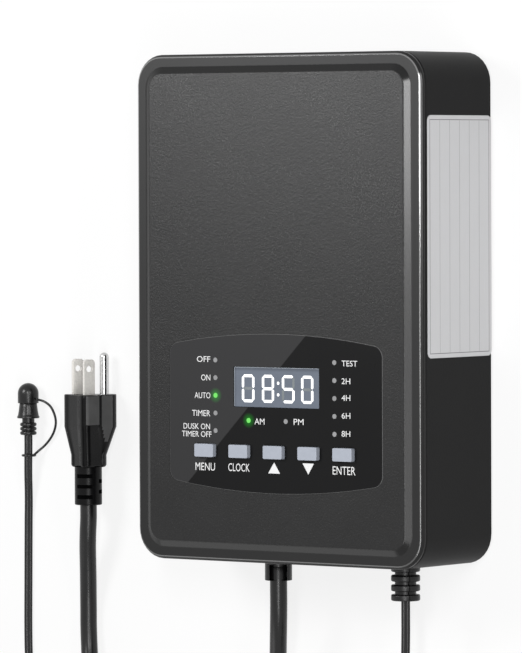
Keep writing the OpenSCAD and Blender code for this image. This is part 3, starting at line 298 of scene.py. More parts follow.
# The points that the cord follows, in mm.
MAINS_LEAD = [
    (-22, -127, 30), (-22, -132, 30), (-22, -138, 30), (-22.7, -148, 29), (-24.8, -158, 26.4),
    (-28, -168, 22.4), (-31.8, -178, 17.6), (-35.5, -188, 13), (-38.7, -198, 9), (-40.8, -208, 6.4),
    (-41.5, -218, 5.3), (-41.5, -235, 5.3), (-41.5, -253, 5.3)]
MAINS_TAIL = [
    (-152.3, -253, 14.6), (-152.3, -240, 14.6), (-152.3, -226, 14.6), (-152.7, -216, 14.2),
    (-154.4, -206, 12.7), (-157.1, -196, 10.1), (-160.1, -186, 7.3), (-162.4, -176, 5.1),
    (-163.3, -166, 4.4), (-163.3, -158, 4.4), (-162.8, -150, 5.1), (-161.4, -142, 6.9),
    (-159.9, -134, 8.9), (-158.2, -126, 11.2), (-156.2, -118, 13.5), (-154.8, -110, 14.7),
    (-154.8, -103.2, 14.7)]
MAINS_COIL = dict(
    middle=(-96.9, -261.6), low=5.3, radius=55.4, pitch=9.3, step=9.3, turns=5.5, start=0, way=-1)

CORD_BLACK = (0.003, 0.003, 0.0031)
CORD_STEPS = 4
RINGS_A_TURN = 40
PORE_HAZE, PORE_HAZE_GLOSS = 14, 0.1


def curved(points, steps):
    """A smooth line through points: between two of them a Catmull-Rom cubic, cut into steps."""
    p = np.asarray(points, float)
    p = np.vstack([2 * p[:1] - p[1:2], p, 2 * p[-1:] - p[-2:-1]])
    a, b, c, d = p[:-3, None], p[1:-2, None], p[2:-1, None], p[3:, None]
    t = (np.arange(steps) / steps)[None, :, None]
    line = b + 0.5 * t * (c - a + t * (2 * a - 5 * b + 4 * c - d + t * (3 * (b - c) + d - a)))
    return np.vstack([line.reshape(-1, 3), p[-2:-1]])


def wound(middle, low, radius, pitch, step, turns, start, way):
    """A coil in two layers: it spirals in by pitch a turn, climbs by step in the half turn at the
    inside, where it stays inside the last turn, and spirals out again above itself."""
    t = np.arange(round(turns * RINGS_A_TURN) + 1) / RINGS_A_TURN
    inner = (turns - 0.5) / 2
    m = np.clip(t - inner, 0, 0.5)
    inward = np.minimum(t, inner)
    outward = np.clip(t - inner - 0.5, 0, None)
    r = radius - pitch * inward - pitch * m * (1 - 2 * m) + pitch * outward
    z = low + step * (1 - np.cos(2 * np.pi * m)) / 2
    angle = math.radians(start) + way * 2 * np.pi * t
    return np.stack([middle[0] + r * np.cos(angle), middle[1] + r * np.sin(angle), z], -1)


def cells(rows, columns, round_rows=False, round_columns=False):
    """Four-cornered faces of a grid of points; a round direction joins its last line to its first."""
    number = np.arange(rows * columns).reshape(rows, columns)
    if round_rows:
        number = np.vstack([number, number[:1]])
    if round_columns:
        number = np.hstack([number, number[:, :1]])
    corners = [number[:-1, :-1], number[:-1, 1:], number[1:, 1:], number[1:, :-1]]
    return np.stack(corners, -1).reshape(-1, 4).tolist()


def tube_faces(rows, columns):
    """The sides of a tube of rings, and the two flat faces that close its first and last ring."""
    last = (rows - 1) * columns
    return cells(rows, columns, round_columns=True) + [
        list(range(columns))[::-1], list(range(last, last + columns))]


def along(line, section):
    """Rings of a tube: section, one for all points of the line or one for each, gives how far to go
    to the side and up, where side is level and across the line, and up is across both."""
    ahead = np.gradient(line, axis=0)
    ahead /= np.linalg.norm(ahead, axis=1, keepdims=True)
    side = np.cross(ahead, (0, 0, 1))
    side /= np.linalg.norm(side, axis=1, keepdims=True)
    up = np.cross(side, ahead)
    return line[:, None] + section[..., :1] * side[:, None] + section[..., 1:] * up[:, None]


def facing_out(thing):
    """Turns a closed mesh's faces outwards."""
    shell = bmesh.new()
    shell.from_mesh(thing.data)
    bmesh.ops.recalc_face_normals(shell, faces=shell.faces)
    shell.to_mesh(thing.data)
    shell.free()


def smoothed(thing, angle=40):
    """Smooth shading, with an edge kept sharp where its faces meet at more than angle degrees."""
    thing.data.shade_smooth()
    thing.data.set_sharp_from_angle(angle=math.radians(angle))


def closed(name, points, faces, finish, angle=40):
    """A closed mesh whose faces look outwards, with smooth shading as smoothed() gives it."""
    thing = made(name, points, faces, finish)
    facing_out(thing)
    smoothed(thing, angle)
    return thing


def tube(name, rings, finish, angle=40):
    """A closed tube through rings of points in metres, one row of the array a ring."""
    return closed(name, rings, tube_faces(*rings.shape[:2]), finish, angle)


def round_section(diameter, sides):
    """A circle's points, sides of them."""
    angle = 2 * np.pi * np.arange(sides) / sides
    return diameter / 2 * np.stack([np.cos(angle), np.sin(angle)], -1)


def rubbery(name, colour, grain, relief, gloss, specular=0.2):
    """Smooth plastic: fine pores, and a faint haze, many pores wide, that changes the gloss."""
    finish = Finish(name, Specular_IOR_Level=specular)
    pores = finish.noise(grain, 3.0)
    haze = finish.noise(grain * PORE_HAZE, 2.0)
    finish.give(
        Base_Color=finish.shaded(haze, colour, 0.8, 1.25),
        Roughness=haze * PORE_HAZE_GLOSS + (gloss - PORE_HAZE_GLOSS / 2),
        Normal=finish.bump(pores, relief))
    return finish


def fitted(piece, slot, *nodes, body="unit"):
    """The piece moves with a body and stands for the CAD nodes that are named, which it hides.
    Its slot is not used."""
    if nodes:
        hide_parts(*nodes)
    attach(piece, body)


cord_jacket = rubbery(
    "cord_jacket", CORD_BLACK, grain=0.5 * MM, relief=0.006 * MM, gloss=0.28, specular=0.35)
mains_line = MM * np.vstack([
    curved(MAINS_LEAD, CORD_STEPS), wound(**MAINS_COIL), curved(MAINS_TAIL, CORD_STEPS)])
mains_cord = tube("mains_cord", along(mains_line, round_section(MAINS_D, MAINS_SIDES)), cord_jacket)
fitted(mains_cord, "cord_black", "mains_cord_lead", "mains_cord_coil", "mains_cord_tail")


# The sensor's cord: two thin cores side by side, moulded as one flat strip with a groove along its
# middle. It lies flat, but stands on its edge where it is wound up: each of its points, in mm, has a
# turn in degrees.
TWIN_LOBE = 2.4 * MM
TWIN_LOBE_POINTS = 11
TWIN_NOTCH = math.radians(152)
SENSOR_LEAD = [
    (55.4, -142.4, 30), (55.4, -150, 30), (55.4, -158, 30), (54.3, -168, 28.7), (51.3, -178, 24.9),
    (47, -188, 19.5), (42.2, -198, 13.7), (37.9, -208, 8.3), (34.9, -218, 4), (33.8, -227, 2.2),
    (33.8, -233, 2.9), (33.8, -237, 3.3), (33.8, -240, 3.3)]
SENSOR_LEAD_TURN = [0, 0, 0, 0, 0, 0, 0, 0, 5, 30, 60, 90, 90]
SENSOR_TAIL = [
    (60.5, -213.3, 8.6), (57.5, -213.3, 8.6), (52.5, -212.6, 8.1), (46, -210.2, 6.2),
    (38, -205.8, 3.7), (30, -201.8, 2), (20, -198.8, 1.3), (8, -198, 1.3), (-20, -198, 1.3),
    (-60, -198, 1.3), (-100, -198, 1.3), (-140, -198, 1.3), (-175, -198, 1.3), (-192, -198, 1.3),
    (-198.5, -196.3, 1.3), (-203.7, -191.5, 1.3), (-205.5, -185, 1.3), (-205.9, -170, 1.3),
    (-205.7, -145, 1.3), (-205.4, -115, 1.3), (-205, -107, 1.6), (-204.1, -99, 2.7),
    (-202.8, -91, 4.5), (-201.8, -83, 5.7), (-201.5, -76, 5.9), (-201.5, -69, 5.9)]
SENSOR_TAIL_TURN = [90, 90, 78, 50, 25, 8] + [0] * 20
SENSOR_COIL = dict(
    middle=(65.3, -244.8), low=3.3, radius=31.5, pitch=3.0, step=5.3, turns=7.75, start=180, way=1)


def twin_section():
    """Two lobes, each most of a circle, whose open sides face each other across the groove."""
    angle = np.linspace(-TWIN_NOTCH, TWIN_NOTCH, TWIN_LOBE_POINTS)
    right = TWIN_LOBE / 2 * np.stack([np.cos(angle) + 1, np.sin(angle)], -1)
    return np.vstack([right, -right])


def tipped(section, degrees):
    """One section a ring, each turned about the line by its own angle."""
    a = np.radians(degrees)[:, None]
    return np.stack([
        section[:, 0] * np.cos(a) - section[:, 1] * np.sin(a),
        section[:, 0] * np.sin(a) + section[:, 1] * np.cos(a)], -1)


def spread(values, steps):
    """The values at the same places as curved() puts its points."""
    count = len(values)
    return np.interp(np.arange((count - 1) * steps + 1) / steps, np.arange(count), values)


sensor_coil_line = wound(**SENSOR_COIL)
sensor_line = MM * np.vstack([
    curved(SENSOR_LEAD, CORD_STEPS), sensor_coil_line, curved(SENSOR_TAIL, CORD_STEPS)])
sensor_turn = np.concatenate([
    spread(SENSOR_LEAD_TURN, CORD_STEPS), np.full(len(sensor_coil_line), 90.0),
    spread(SENSOR_TAIL_TURN, CORD_STEPS)])
sensor_cord = tube("sensor_cord", along(sensor_line, tipped(twin_section(), sensor_turn)), cord_jacket)
fitted(sensor_cord, "cord_black", "sensor_cord_lead", "sensor_cord_coil", "sensor_cord_tail")


# The rear case: a deep tray moulded in black plastic with a fine grain, with screw wells and two
# keyholes in its back, a bay for the low voltage terminals, and a shallow seat for the plate.
CASE_HALF_W = 87 * MM
CASE_HALF_L = 125 * MM
CASE_CORNER = 15 * MM
CASE_RIM = 56.5 * MM
CASE_BACK_ROLL = 1.5 * MM
CASE_RIM_ROLL = 0.5 * MM
CASE_BLACK = (0.006, 0.006, 0.0062)
NEAR = 0.15 * MM
WELD = 0.001 * MM
FLAT_EDGE = math.radians(0.5)
SHARP_EDGE = math.radians(25)
ROLL_STEPS = 4
SHADED_SHARP = 24
FACE_ORDER = Vector((1.0, 1.372, 2.113))
GRAIN_HAZE, GRAIN_HAZE_GLOSS = 45, 0.12


def from_side(x, y):
    """How far a point lies outside the case's rounded outline: the distance to its corner's arc, or
    to the nearer side where the point is not in a corner; it is negative inside."""
    over_x, over_y = np.abs(x) - CASE_HALF_W + CASE_CORNER, np.abs(y) - CASE_HALF_L + CASE_CORNER
    beyond = np.hypot(np.maximum(over_x, 0), np.maximum(over_y, 0))
    return beyond + np.minimum(np.maximum(over_x, over_y), 0) - CASE_CORNER


def on_side(x, y):
    return np.abs(from_side(x, y)) < NEAR


body_of = {
    node: body for body, nodes in frame["record"]["behaviour"]["bodies"].items() for node in nodes}


def rolled(name, node, slot, finish, *rolls):
    """A copy of a CAD node, doubles merged and flat faces joined, whose chosen sharp edges are
    rolled. Each roll is a radius and a test of the edges' middles in metres. The rolling leaves the
    faces in an order of its own from run to run, so they are sorted along a slanting line."""
    data = frame["nodes"][node].data
    points = np.zeros(len(data.vertices) * 3)
    data.vertices.foreach_get("co", points)
    thing = made(name, points, [tuple(face.vertices) for face in data.polygons], finish)
    shell = bmesh.new()
    shell.from_mesh(thing.data)
    bmesh.ops.remove_doubles(shell, verts=shell.verts, dist=WELD)
    bmesh.ops.dissolve_limit(
        shell, angle_limit=FLAT_EDGE, verts=shell.verts, edges=shell.edges)
    for radius, chosen in rolls:
        sharp = [e for e in shell.edges
                 if len(e.link_faces) == 2 and e.calc_face_angle() > SHARP_EDGE]
        middles = np.array([(e.verts[0].co + e.verts[1].co) / 2 for e in sharp])
        picked = [e for e, yes in zip(sharp, chosen(*middles.T)) if yes]
        bmesh.ops.bevel(
            shell, geom=picked, offset=radius, offset_type="OFFSET", segments=ROLL_STEPS,
            profile=0.5, affect="EDGES", clamp_overlap=False)
    shell.faces.sort(key=lambda face: face.calc_center_median().dot(FACE_ORDER))
    shell.to_mesh(thing.data)
    shell.free()
    smoothed(thing, SHADED_SHARP)
    weighed = thing.modifiers.new("weighed_normals", "WEIGHTED_NORMAL")
    weighed.keep_sharp = True
    fitted(thing, slot, node, body=body_of[node])
    return thing


def leathery(finish, colour, grain):
    """A leathery grain: lumps of grain metres with finer ones on them, a wide haze, and a colour that
    follows both."""
    lumps = finish.noise(grain, 4.0, rough=0.6)
    haze = finish.noise(grain * GRAIN_HAZE, 3.0)
    tone = finish.ramp(lumps * 0.7 + haze * 0.3, 0.3, 0.7)
    return finish.ramp(lumps, 0.25, 0.75), haze, finish.shaded(tone, colour, 0.82, 1.2)


def grained(name, colour, grain, relief, gloss, specular=0.3):
    """Moulded plastic with a leathery grain."""
    finish = Finish(name, Specular_IOR_Level=specular)
    lumps, haze, tone = leathery(finish, colour, grain)
    finish.give(
        Base_Color=tone, Roughness=haze * GRAIN_HAZE_GLOSS + gloss,
        Normal=finish.bump(lumps, relief))
    return finish


case_plastic = grained(
    "case_plastic", CASE_BLACK, grain=0.9 * MM, relief=0.03 * MM, gloss=0.42, specular=0.11)
rolled(
    "rear_case_shell", "rear_case", "case_plastic", case_plastic,
    (CASE_BACK_ROLL, lambda x, y, z: on_side(x, y) & (z < NEAR)),
    (CASE_RIM_ROLL, lambda x, y, z: on_side(x, y) & (np.abs(z - CASE_RIM) < NEAR)))


# The front cover: a lid moulded in the same plastic with a stronger grain. Its edge is chamfered, a
# flat rim runs round it, and a raised front stands on the rim behind a slope.
COVER_TOP = 60 * MM
COVER_LOW = 57.1 * MM
COVER_FRONT = 62 * MM
COVER_CHAMFER = 1.5 * MM
CHAMFER_REACH = 2.25 * MM
FRONT_INSET = 10.5 * MM
COVER_ROLL = 0.4 * MM
COVER_LOW_ROLL = 0.35 * MM
COVER_FRONT_ROLL = 0.45 * MM
COVER_GREY = (0.009, 0.009, 0.0092)
COVER_GRAIN = 0.8 * MM
COVER_RELIEF = 0.08 * MM
SPECKLE, SPECKLE_SHARE = 0.9 * MM, 0.34
RIM_BLACK = (0.002, 0.002, 0.002)
RIM_SHARE = 0.6
COVER_GLOSS, RIM_GLOSS, EDGE_GLOSS = 0.26, 0.46, 0.2
FRONT_FADE = (0.05 * MM, 0.3 * MM)
RIM_FADE = (0.03 * MM, 0.25 * MM)
POLISH_BAND = (0.02 * MM, 0.4 * MM)
POLISH_LOW, POLISH_HIGH = -40 * MM, 60 * MM
POLISH_LEAST = 0.45

# The raised front is grained, the rim and slope are smooth, and the chamfer's edge has a high polish.
cover_plastic = Finish("cover_plastic", Specular_IOR_Level=0.27, Coat_Roughness=0.12, Coat_IOR=2.6)
cover_lumps, cover_haze, grain_tone = leathery(cover_plastic, COVER_GREY, COVER_GRAIN)
cover_speckle = cover_plastic.noise(SPECKLE, 3.0, rough=0.8)
_, cover_y, cover_z = cover_plastic.axes()
off_front = cover_plastic.ramp(COVER_FRONT - cover_z, *FRONT_FADE)
off_rim = cover_plastic.ramp(abs(cover_z - COVER_TOP), *RIM_FADE)
below_rim = COVER_TOP - cover_z
polished = (below_rim > POLISH_BAND[0]) * (below_rim < POLISH_BAND[1]) * (
    cover_plastic.ramp(cover_y, POLISH_LOW, POLISH_HIGH) * (1 - POLISH_LEAST) + POLISH_LEAST)
grain_gloss = cover_haze * GRAIN_HAZE_GLOSS + (cover_speckle - 0.5) * SPECKLE_SHARE + COVER_GLOSS
smooth_gloss = off_rim * (EDGE_GLOSS - RIM_GLOSS) + RIM_GLOSS
cover_plastic.give(
    Base_Color=cover_plastic.mixed(off_front * RIM_SHARE, grain_tone, RIM_BLACK),
    Roughness=grain_gloss + off_front * (smooth_gloss - grain_gloss),
    Coat_Weight=polished,
    Normal=cover_plastic.bump(cover_lumps * (1 - off_front), COVER_RELIEF))


def chamfer_edges(x, y, z):
    """The chamfer's two edges, one at the rim and one on the side."""
    at_rim = (np.abs(z - COVER_TOP) < NEAR) & (from_side(x, y) > -CHAMFER_REACH)
    return at_rim | on_side(x, y) & (np.abs(z - COVER_TOP + COVER_CHAMFER) < NEAR)


def front_edge(x, y, z):
    """The edge where the slope meets the raised front; the pocket's edges lie further in."""
    return (np.abs(z - COVER_FRONT) < NEAR) & (from_side(x, y) > -FRONT_INSET)


rolled(
    "front_cover_lid", "front_cover", "cover_plastic", cover_plastic,
    (COVER_ROLL, chamfer_edges),
    (COVER_LOW_ROLL, lambda x, y, z: on_side(x, y) & (np.abs(z - COVER_LOW) < NEAR)),
    (COVER_FRONT_ROLL, front_edge))


# The control panel: a gloss black sheet with bowed long sides, set in the raised front. A painted
# reflection makes its film paler above a slanting line, and a painted glow makes it shine green
# round the two lit lamps.
PANEL_TOP = 62.1 * MM
PANEL_BLACK = (0.0065, 0.0065, 0.0068)
PAINTED_REFLECTION_GREY = (0.031, 0.031, 0.032)
SLANT_AT = (18.4 * MM, -13.4 * MM)
SLANT_ACROSS = (-0.711, 0.703)
SLANT_BLUR = 0.15 * MM
LIT_LAMPS = ((-36.3 * MM, -43.0 * MM), (-15.9 * MM, -54.9 * MM))
LAMP_EDGE, GLOW_REACH, GLOW_FALL = 1.4 * MM, 4.0 * MM, 1.2
PAINTED_GLOW_GREEN = (0.0, 0.13, 0.003)
PANEL_HALF = (60 * MM, 30 * MM)
PANEL_MIDDLE = -51.4 * MM
PANEL_ROLL = 0.25 * MM
PANEL_EDGE_HIGHLIGHT_GREY = (0.1, 0.1, 0.1)
LEVEL_FACE = 0.99
PANEL_GLOSS, REFLECTION_BAND_GLOSS, SMEAR_GLOSS = 0.24, 0.12, 0.06

panel_film = Finish("panel_film", Specular_IOR_Level=0.1)
film_x, film_y, _ = panel_film.axes()
slant = (film_x - SLANT_AT[0]) * SLANT_ACROSS[0] + (film_y - SLANT_AT[1]) * SLANT_ACROSS[1]
# Painted light: the film emits a green glow round each lit lamp.
painted_lamp_glows = []
for lamp_x, lamp_y in LIT_LAMPS:
    away = ((film_x - lamp_x) ** 2 + (film_y - lamp_y) ** 2) ** 0.5
    painted_lamp_glows.append(panel_film.ramp(away, GLOW_REACH, LAMP_EDGE) ** GLOW_FALL)
# Painted reflection: the film's colour is paler on one side of the slanting line.
painted_reflection = panel_film.ramp(slant, -SLANT_BLUR, SLANT_BLUR)
smear = panel_film.noise(18 * MM, 3.0)
panel_film.give(
    Base_Color=panel_film.mixed(painted_reflection, PANEL_BLACK, PAINTED_REFLECTION_GREY),
    Roughness=painted_reflection * REFLECTION_BAND_GLOSS + smear * SMEAR_GLOSS + PANEL_GLOSS,
    Emission_Color=panel_film.mixed(painted_lamp_glows[0] + painted_lamp_glows[1], (0.0, 0.0, 0.0), PAINTED_GLOW_GREEN),
    Emission_Strength=1.0,
    Normal=panel_film.bump(panel_film.noise(0.35 * MM, 1.0), 0.002 * MM))


def panel_border(x, y):
    return (np.abs(x) > PANEL_HALF[0]) | (np.abs(y - PANEL_MIDDLE) > PANEL_HALF[1])


def panel_sides(thing):
    """Marks the faces round the panel's border that don't look straight up."""
    faces = thing.data.polygons
    middles, normals = np.zeros((2, 3 * len(faces)))
    faces.foreach_get("center", middles)
    faces.foreach_get("normal", normals)
    return panel_border(middles[::3], middles[1::3]) & (normals[2::3] < LEVEL_FACE)


def second_finish(thing, finish, marks):
    """Gives a second finish to the marked faces."""
    thing.data.materials.append(finish.material)
    thing.data.polygons.foreach_set("material_index", marks.astype(np.int32))


control_panel = rolled(
    "control_panel_sheet", "control_panel", "panel_gloss", panel_film,
    (PANEL_ROLL, lambda x, y, z: (np.abs(z - PANEL_TOP) < NEAR) & panel_border(x, y)))
# Painted highlight: the panel's rolled border and sides take a lighter grey, a thin light line round its
# edge.
panel_edge_highlight = rubbery("panel_edge_highlight", PANEL_EDGE_HIGHLIGHT_GREY, grain=0.5 * MM, relief=0.002 * MM, gloss=0.3)
second_finish(control_panel, panel_edge_highlight, panel_sides(control_panel))


# The clock's window: a smoked pane behind the panel, through which four figures of seven strokes
# each and two dots shine white. The pane has painted shade under its top and left edges, and a
# thin painted highlight line along them.
WINDOW_GREY = (0.124, 0.144, 0.181)
WINDOW_PAINTED_SHADE = (0.05, 0.058, 0.075)
WINDOW_PAINTED_HIGHLIGHT = (0.26, 0.29, 0.33)
WINDOW_ROLL = 0.25 * MM
PAINTED_SHADE_TOP, PAINTED_SHADE_TOP_SHARE = (2.2 * MM, 0.6 * MM), 0.65
PAINTED_SHADE_LEFT, PAINTED_SHADE_LEFT_SHARE = (1.7 * MM, 0.9 * MM), 0.4
HIGHLIGHT_LINE_TOP, HIGHLIGHT_LINE_LEFT = 0.35 * MM, 0.5 * MM
PANE_GLOSS, PANE_HAZE_GLOSS = 0.25, 0.1
FIGURES = (
    ((-20.2, -12.5), "abcdef"), ((-7.9, -0.5), "abcdefg"), ((4.3, 12.0), "acdfg"),
    ((16.0, 23.4), "abcdef"))
FIGURE_LOW, FIGURE_HIGH = -46.0, -32.3
STROKE = 1.38
STROKE_GAP = 0.18
COLON, COLON_D, COLON_SIDES = ((2.0, -36.3), (2.0, -42.0)), 1.5, 20
FIGURE_LIGHT = (1.0, 1.0, 1.0)
FIGURE_WHITE = (0.6, 0.6, 0.6)
FIGURE_DARK = (0.19, 0.21, 0.22)

window_low, window_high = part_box("display_window")
window_pane = Finish("window_pane", Specular_IOR_Level=0.3)
pane_haze = window_pane.noise(6 * MM, 2.0)
pane_x, pane_y, _ = window_pane.axes()
from_top, from_left = window_high[1] - pane_y, pane_x - window_low[0]
# Painted shade: the pane's colour is darker in a band under its top edge and along its left edge.
painted_shade = window_pane.ramp(from_top, *PAINTED_SHADE_TOP) * PAINTED_SHADE_TOP_SHARE + (
    window_pane.ramp(from_left, *PAINTED_SHADE_LEFT) * PAINTED_SHADE_LEFT_SHARE)
pane_with_painted_shade = window_pane.mixed(
    painted_shade, window_pane.shaded(pane_haze, WINDOW_GREY, 0.92, 1.08), WINDOW_PAINTED_SHADE)
# Painted highlight: a thin lighter line right at the pane's top and left edges.
painted_highlight_line = (from_top < HIGHLIGHT_LINE_TOP).most(from_left < HIGHLIGHT_LINE_LEFT)
window_pane.give(
    Base_Color=window_pane.mixed(painted_highlight_line, pane_with_painted_shade, WINDOW_PAINTED_HIGHLIGHT),
    Roughness=pane_haze * PANE_HAZE_GLOSS + PANE_GLOSS,
    Normal=window_pane.bump(window_pane.noise(0.4 * MM, 1.0), 0.001 * MM))
rolled(
    "clock_window", "display_window", "window_acrylic", window_pane,
    (WINDOW_ROLL, lambda x, y, z: z > window_high[2] - NEAR))


def strokes(span, lit):
    """The seven strokes of a figure as six-cornered bars, pointed where two of them meet; a is
    the top one, b to f go round from it with the clock, and g is the middle one."""
    left, right = span[0] + STROKE / 2, span[1] - STROKE / 2
    low, high = FIGURE_LOW + STROKE / 2, FIGURE_HIGH - STROKE / 2
    half = (low + high) / 2
    runs = dict(
        a=((left, high), (right, high)), b=((right, high), (right, half)),
        c=((right, half), (right, low)), d=((left, low), (right, low)),
        e=((left, half), (left, low)), f=((left, high), (left, half)),
        g=((left, half), (right, half)))
    bars = []
    for letter in lit:
        start, end = (np.array(p) for p in runs[letter])
        go = (end - start) / np.linalg.norm(end - start)
        aside = np.array((-go[1], go[0])) * STROKE / 2
        start, end = start + go * STROKE_GAP, end - go * STROKE_GAP
        inset = go * STROKE / 2
        bars.append(np.array([
            start, start + inset - aside, end - inset - aside, end, end - inset + aside,
            start + inset + aside]))
    return bars


def printed(name, shapes, low, thick, slot, finish):
    """Flat shapes in mm, each a loop of corners, as one mesh of thin closed plates; low and thick
    are in metres."""
    points, faces = [], []
    for loop in shapes:
        first, count = len(points), len(loop)
        for z in (low, low + thick):
            points += [(x * MM, y * MM, z) for x, y in loop]
        faces += [
            list(range(first, first + count))[::-1], list(range(first + count, first + 2 * count))]
        faces += [
            [first + k, first + (k + 1) % count, first + count + (k + 1) % count, first + count + k]
            for k in range(count)]
    thing = made(name, points, faces, finish)
    facing_out(thing)
    fitted(thing, slot)


PRINT = 0.03 * MM
figure_light = Finish("figure_light", Roughness=0.5, Emission_Strength=0.85)
spark = figure_light.noise(0.5 * MM, 1.0)
figure_light.give(
    Base_Color=FIGURE_WHITE,
    Emission_Color=figure_light.shaded(spark, FIGURE_LIGHT, 0.92, 1.0))
lit_strokes = [bar for span, lit in FIGURES for bar in strokes(span, lit)]
lit_strokes += [np.array(dot) + round_section(COLON_D, COLON_SIDES) for dot in COLON]
printed(
    "clock_figures", lit_strokes, window_high[2] + PRINT, PRINT, "component_white", figure_light)
figure_dark = rubbery("figure_dark", FIGURE_DARK, grain=0.5 * MM, relief=0.001 * MM, gloss=0.4)
dark_strokes = [
    bar for span, lit in FIGURES for bar in strokes(span, sorted(set("abcdefg") - set(lit)))]
printed(
    "unlit_figures", dark_strokes, window_high[2] + PRINT / 2, PRINT / 2, "window_acrylic",
    figure_dark)


# The panel's lettering is silk-screened in white: a word beside each lamp and below each button,
# and an arrow below the two middle buttons.
WORDS = (
    ("OFF", (-47.8, -39.5), (-26.75, -23.85)), ("ON", (-45.2, -39.5), (-35.8, -32.9)),
    ("AUTO", (-49.3, -39.5), (-44.6, -41.7)), ("TIMER", (-50.9, -39.6), (-53.4, -50.5)),
    ("DUSK ON", (-56.3, -39.8), (-59.9, -57.1)), ("TIMER OFF", (-57.3, -38.9), (-63.7, -60.9)),
    ("TEST", (40.7, 50.0), (-27.3, -24.5)), ("2H", (40.6, 45.8), (-35.9, -33.1)),
    ("4H", (40.6, 45.8), (-44.0, -41.2)), ("6H", (40.6, 45.8), (-52.65, -49.85)),
    ("8H", (40.5, 45.7), (-61.4, -58.6)), ("AM", (-12.3, -6.2), (-56.7, -53.8)),
    ("PM", (11.6, 17.6), (-56.4, -53.5)), ("MENU", (-48.9, -36.8), (-80.2, -76.4)),
    ("CLOCK", (-28.6, -15.4), (-80.1, -76.2)), ("ENTER", (35.1, 48.7), (-79.9, -75.9)))
ARROWS = (
    ((-4.0, -80.5), (3.2, -80.5), (-0.4, -75.1)), ((16.9, -75.0), (20.35, -80.4), (23.8, -75.0)))
INK_WHITE = (0.82, 0.82, 0.82)
LETTER_STEPS = 3

ink = Finish("panel_ink", Roughness=0.5)
ink_wear = ink.noise(0.6 * MM, 2.0)
ink.give(
    Base_Color=ink.shaded(ink_wear, INK_WHITE, 0.85, 1.0),
    Normal=ink.bump(ink_wear, 0.002 * MM))


def word_mesh(word, across, up):
    """A word in the plain built-in type, fitted to a box in mm: its own corners go to the box's
    corners. It gives points in metres and faces."""
    text = bpy.data.curves.new("word", "FONT")
    text.body = word
    text.resolution_u = LETTER_STEPS
    letters = bpy.data.objects.new("word", text)
    mesh = bpy.data.meshes.new_from_object(letters)
    points = np.zeros(len(mesh.vertices) * 3)
    mesh.vertices.foreach_get("co", points)
    points = points.reshape(-1, 3)[:, :2]
    low, high = points.min(0), points.max(0)
    box_low, box_high = np.array((across[0], up[0])), np.array((across[1], up[1]))
    points = MM * (box_low + (points - low) / (high - low) * (box_high - box_low))
    faces = [list(face.vertices) for face in mesh.polygons]
    bpy.data.objects.remove(letters)
    bpy.data.curves.remove(text)
    bpy.data.meshes.remove(mesh)
    return points, faces


word_points, word_faces, words_so_far = [], [], 0
for word, across, up in WORDS:
    points, faces = word_mesh(word, across, up)
    word_points.append(points)
    word_faces += [[corner + words_so_far for corner in face] for face in faces]
    words_so_far += len(points)
flat_words = np.vstack(word_points)
panel_words = made(
    "panel_words", np.hstack([flat_words, np.full((len(flat_words), 1), PANEL_TOP + PRINT / 2)]),
    word_faces, ink)
inked = panel_words.modifiers.new("ink_thickness", "SOLIDIFY")
inked.thickness = PRINT
inked.offset = 1.0
fitted(panel_words, "component_white")
printed("panel_arrows", ARROWS, PANEL_TOP + PRINT / 2, PRINT, "component_white", ink)


# Five push buttons moulded in pale grey-blue plastic stand out of the panel. Each slides in along its
# own stem, which reaches through the cover to a switch on the board.
BUTTON_GREY = (0.355, 0.382, 0.44)
BUTTON_ROLL = 0.25 * MM
BUTTON_TOP = 64.4 * MM
BUTTON_GLOSS, BUTTON_HAZE_GLOSS = 0.32, 0.15

button_plastic = Finish("button_plastic", Specular_IOR_Level=0.5)
button_haze = button_plastic.noise(2.5 * MM, 3.0)
button_plastic.give(
    Base_Color=button_plastic.shaded(button_haze, BUTTON_GREY, 0.94, 1.04),
    Roughness=button_haze * BUTTON_HAZE_GLOSS + BUTTON_GLOSS,
    Normal=button_plastic.bump(button_plastic.noise(0.25 * MM, 2.0), 0.004 * MM))
for button in ("menu", "clock", "up", "down", "enter"):
    rolled(
        f"{button}_key", f"button_{button}", "button_plastic", button_plastic,
        (BUTTON_ROLL, lambda x, y, z: z > BUTTON_TOP - NEAR))


# The plate on the right side is silver foil, finely brushed and glued into a shallow seat in the case.
# It is bare but for a thin printed frame and ruled lines.
PLATE_LOW, PLATE_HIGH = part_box("rating_plate")
PLATE_SILVER = (0.56, 0.56, 0.57)
PLATE_LINE = (0.12, 0.12, 0.125)
PLATE_ROLL = 0.12 * MM
LINE_HALF = 0.16 * MM
FRAME_INSET = 2.2 * MM
RULES = 6
FOIL_GLOSS, BRUSH_GLOSS = 0.35, 0.2

